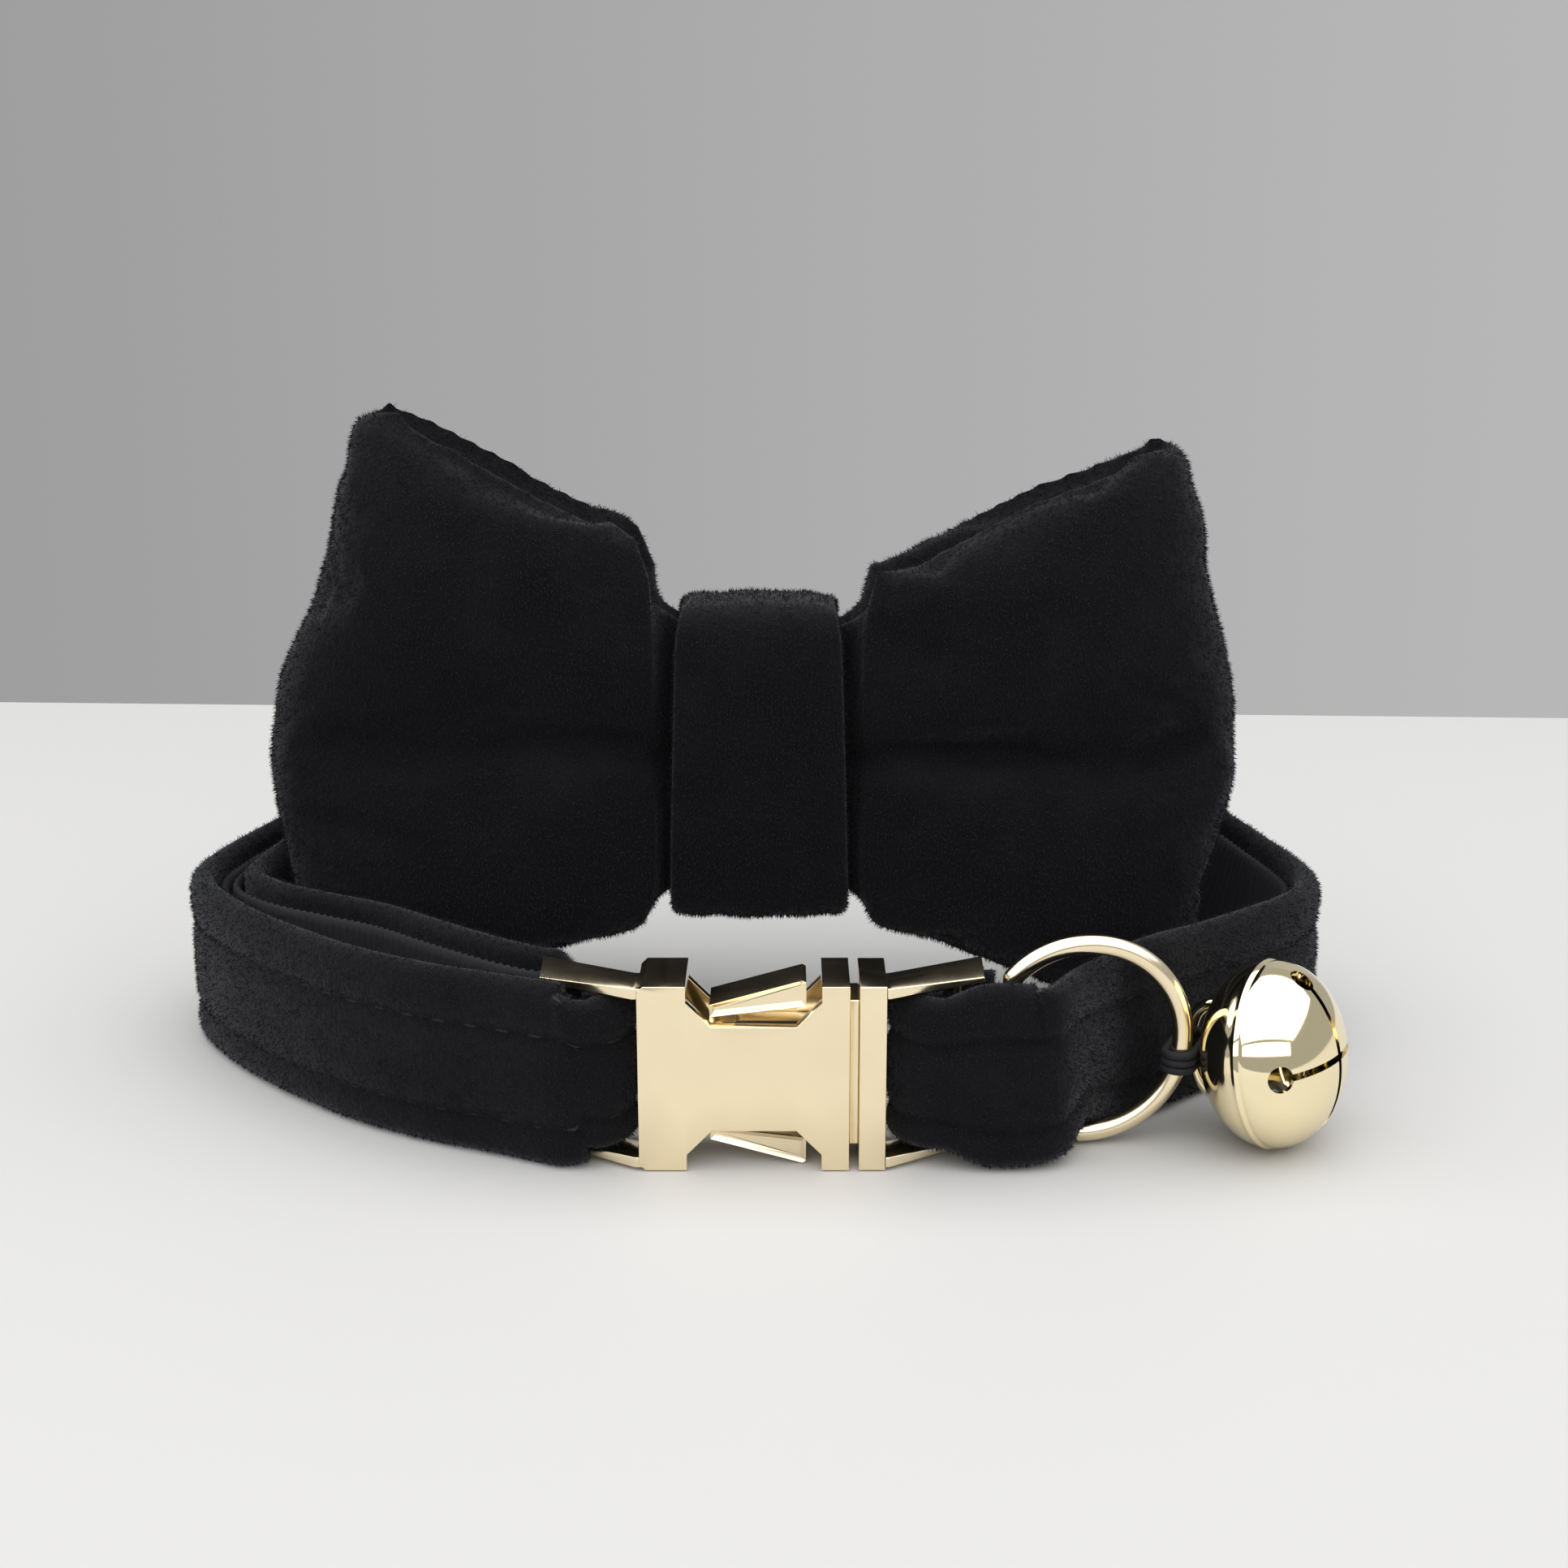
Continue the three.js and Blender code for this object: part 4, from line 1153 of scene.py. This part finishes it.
# %% Pea
bpy.ops.mesh.primitive_ico_sphere_add(
    subdivisions=4, radius=(pea_high[2] - pea_low[2]) / 2, location=(pea_low + pea_high) / 2
)
pea = start_piece("pea")
smooth(pea)
dress(pea, steel, ["bell_pea"])

# %% [markdown]
# ## Tie
# A short black cord is wound three times round the ring and the bell's loop. One turn is a torus
# whose far half is moved out to the other wire. An array stacks the turns.

# %% Tie
tie_low, tie_high = (np.array(c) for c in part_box("bell_tie"))
CORD = 0.66 * MM
TURNS = 3
tie_middle = (tie_low[2] + tie_high[2]) / 2
ring_reach = math.sqrt(ring_radius**2 - (tie_middle - ring_z) ** 2)
ring_point = Vector((ring_x + ring_reach * math.cos(RING_YAW), ring_y + ring_reach * math.sin(RING_YAW), 0))
loop_point = bell_turn @ Vector((0, 0, -LOOP_TOP))
span = Vector((loop_point.x - ring_point.x, loop_point.y - ring_point.y, 0))
bpy.ops.mesh.primitive_torus_add(
    major_radius=RING_WIRE / 2 + CORD / 2, minor_radius=CORD / 2, major_segments=48, minor_segments=12
)
tie = start_piece("tie_cord")
places = corners(tie)
places[places[:, 0] > 0, 0] += span.length
places[:, 2] += tie_middle - CORD * (TURNS - 1) / 2
set_corners(tie, places)
modify(
    tie, "ARRAY", count=TURNS, use_relative_offset=False, use_constant_offset=True,
    constant_offset_displace=(0, 0, CORD * 0.96),
)
tie.data.transform(
    Matrix.Translation((ring_point.x, ring_point.y, 0))
    @ Matrix.Rotation(math.atan2(span.y, span.x), 4, "Z")
)
smooth(tie)
dress(tie, thread, ["bell_tie"])

# %% [markdown]
# ## Velvet hairs
# What makes velvet look like velvet is its edge, where the hairs stand against the light. Each hair
# is one thin triangle, spread evenly over the cloth with a fixed seed. It leans the way that the
# cloth was last brushed.

# %% Hairs
HAIR_WIDTH = 0.1 * MM
HAIR_ROOT = 0.12 * MM
HAIR_STRAY = 0.38
HAIR_LENGTHS = (0.6, 1.15)


def grow_hairs(name, cloth, count, length, brushed_to, keep=None, seed=1):
    """Spreads hairs over a cloth piece's faces. keep tells which face middles grow them."""
    rng = np.random.default_rng(seed)
    mesh = cloth.data
    mesh.calc_loop_triangles()
    index = np.empty(len(mesh.loop_triangles) * 3, dtype=np.int64)
    mesh.loop_triangles.foreach_get("vertices", index)
    index = index.reshape(-1, 3)
    places = corners(cloth)
    normals = normals_of(cloth)
    a, b, c = (places[index[:, k]] for k in range(3))
    area = np.linalg.norm(np.cross(b - a, c - a), axis=1)
    if keep is not None:
        area = area * keep((a + b + c) / 3, normals[index[:, 0]])
    chosen = rng.choice(len(index), size=count, p=area / area.sum())
    share = rng.dirichlet((1, 1, 1), size=count)[:, :, None]
    root = (places[index[chosen]] * share).sum(axis=1)
    normal = (normals[index[chosen]] * share).sum(axis=1)
    lean = normal + np.asarray(brushed_to) + rng.normal(0, HAIR_STRAY, (count, 3))
    lean /= np.linalg.norm(lean, axis=1, keepdims=True)
    across = np.cross(lean, rng.normal(0, 1, (count, 3)))
    across *= HAIR_WIDTH / 2 / np.linalg.norm(across, axis=1, keepdims=True)
    tall = (length * rng.uniform(*HAIR_LENGTHS, count))[:, None]
    root = root - normal * HAIR_ROOT
    hairs = np.stack([root - across, root + across, root + lean * (tall + HAIR_ROOT)], axis=1)
    hairs[:, :, 2] = np.maximum(hairs[:, :, 2], 0)
    made = bpy.data.meshes.new(name)
    made.vertices.add(count * 3)
    made.loops.add(count * 3)
    made.polygons.add(count)
    made.vertices.foreach_set("co", hairs.ravel())
    made.loops.foreach_set("vertex_index", np.arange(count * 3))
    made.polygons.foreach_set("loop_start", np.arange(0, count * 3, 3))
    made.update(calc_edges=True)
    piece = bpy.data.objects.new(name, made)
    bpy.context.scene.collection.objects.link(piece)
    return piece


FEW = 1
BOW_HAIRS = int(190_000 * FEW)
STRAP_HAIRS = int(190_000 * FEW)
KNOT_HAIRS = int(60_000 * FEW)


def outside_bow(middle, normal):
    """Hairs are left out between the panels and under the knot, where none can be seen."""
    inside = (np.abs(middle[:, 1] - BOW_Y) < 1.2 * MM) & (np.abs(normal[:, 1]) > 0.8)
    under = np.abs(middle[:, 0] - BOW_X) < KNOT_HALF - 1.5 * MM
    return ~(inside | under)


bow_hairs = grow_hairs("bow_hairs", bow, BOW_HAIRS, 0.45 * MM, (0, 0, -0.5), outside_bow, seed=3)
dress(bow_hairs, hair)
strap_hairs = grow_hairs("strap_hairs", strap, STRAP_HAIRS, 0.38 * MM, (0.3, 0, -0.2), seed=5)
dress(strap_hairs, hair)
knot_hairs = grow_hairs("knot_hairs", knot, KNOT_HAIRS, 0.42 * MM, (0, 0, -0.6), seed=7)
dress(knot_hairs, hair)

# %% [markdown]
# ## Table, backdrop and light
# The collar stands on a plain white table in front of a pale grey wall. The wall glows by itself with
# painted light, dimmer at the left and brighter to the right. One wide soft ceiling of light hangs over it
# and a lower panel stands behind the camera.

# %% Stage
TABLE_BEHIND = 135 * MM
TABLE_SKEW = -0.045
TABLE_REACH = 900 * MM
WALL_BEHIND = 700 * MM
WALL_REACH = 500 * MM
# Painted light: the wall's own glow at its left and at its right.
WALL_PAINTED_DIM = (0.345, 0.345, 0.347, 1)
WALL_PAINTED_BRIGHT = (0.475, 0.475, 0.477, 1)
ROOM_GREY = (0.40, 0.40, 0.405, 1)

table_top = shader_material(
    "white table", plating_group,
    inputs={
        "Plate": (0.53, 0.527, 0.522, 1),
        "Smeared Plate": (0.52, 0.516, 0.51, 1),
        "Polish": 0.55,
        "Smear": 0.65,
        "Smear Scale": 6.0,
    },
    bump=0.02, depth=0.1 * MM, Specular_IOR_Level=0.25,
)
bpy.ops.mesh.primitive_plane_add(size=1)
table = start_piece("table")
places = corners(table)
places[:, 0] *= 2 * TABLE_REACH
places[:, 1] = np.where(places[:, 1] > 0, TABLE_BEHIND + TABLE_SKEW * places[:, 0], -TABLE_REACH)
set_corners(table, places)
table.data.materials.append(table_top)

# The wall is no lamp, yet it glows: its emission is painted light, a gradient across X from dim to bright.
wall_painted_glow = shader_material(
    "grey wall painted glow", Base_Color=(0, 0, 0, 1), Specular_IOR_Level=0.0, Emission_Strength=1.0,
)
tree = wall_painted_glow.node_tree
where = node(tree, "ShaderNodeTexCoord")
apart = node(tree, "ShaderNodeSeparateXYZ", [("Vector", where.outputs["Object"])])
across = node(
    tree, "ShaderNodeMapRange", [("Value", apart.outputs["X"])],
    From_Min=-0.3, From_Max=0.3,
)
painted_glow_mix = node(tree, "ShaderNodeMix", [("Factor", across.outputs["Result"])], data_type="RGBA")
painted_glow_mix.inputs[6].default_value = WALL_PAINTED_DIM
painted_glow_mix.inputs[7].default_value = WALL_PAINTED_BRIGHT
tree.links.new(tree.nodes["Principled BSDF"].inputs["Emission Color"], painted_glow_mix.outputs[2])
bpy.ops.mesh.primitive_plane_add(size=1, location=(0, WALL_BEHIND, 0), rotation=(math.pi / 2, 0, 0))
wall = start_piece("wall")
set_corners(wall, corners(wall) * [2 * WALL_REACH, 1, 2 * WALL_REACH])
wall.data.materials.append(wall_painted_glow)

world = bpy.data.worlds.new("room")
world.use_nodes = True
world.node_tree.nodes["Background"].inputs["Color"].default_value = ROOM_GREY
world.node_tree.nodes["Background"].inputs["Strength"].default_value = 1.0
bpy.context.scene.world = world
bpy.context.scene.view_settings.view_transform = "Standard"


def soft_panel(name, place, aim, width, height, brightness):
    """A rectangular lamp that faces the aim point. Its face looks this bright in a reflection."""
    lamp = bpy.data.lights.new(name, "AREA")
    lamp.shape = "RECTANGLE"
    lamp.size = width
    lamp.size_y = height
    lamp.energy = brightness * math.pi * width * height
    held = bpy.data.objects.new(name, lamp)
    bpy.context.scene.collection.objects.link(held)
    held.location = place
    held.rotation_euler = (Vector(aim) - Vector(place)).to_track_quat("-Z", "Y").to_euler()


PANEL_BRIGHTNESS = 1.7
soft_panel("ceiling", (0, -0.2, 0.62), (0, -0.2, 0), 2.4, 1.3, PANEL_BRIGHTNESS)
soft_panel("front panel", (0, -0.98, 0.46), (0, 0, 0.1), 2.2, 0.3, PANEL_BRIGHTNESS)
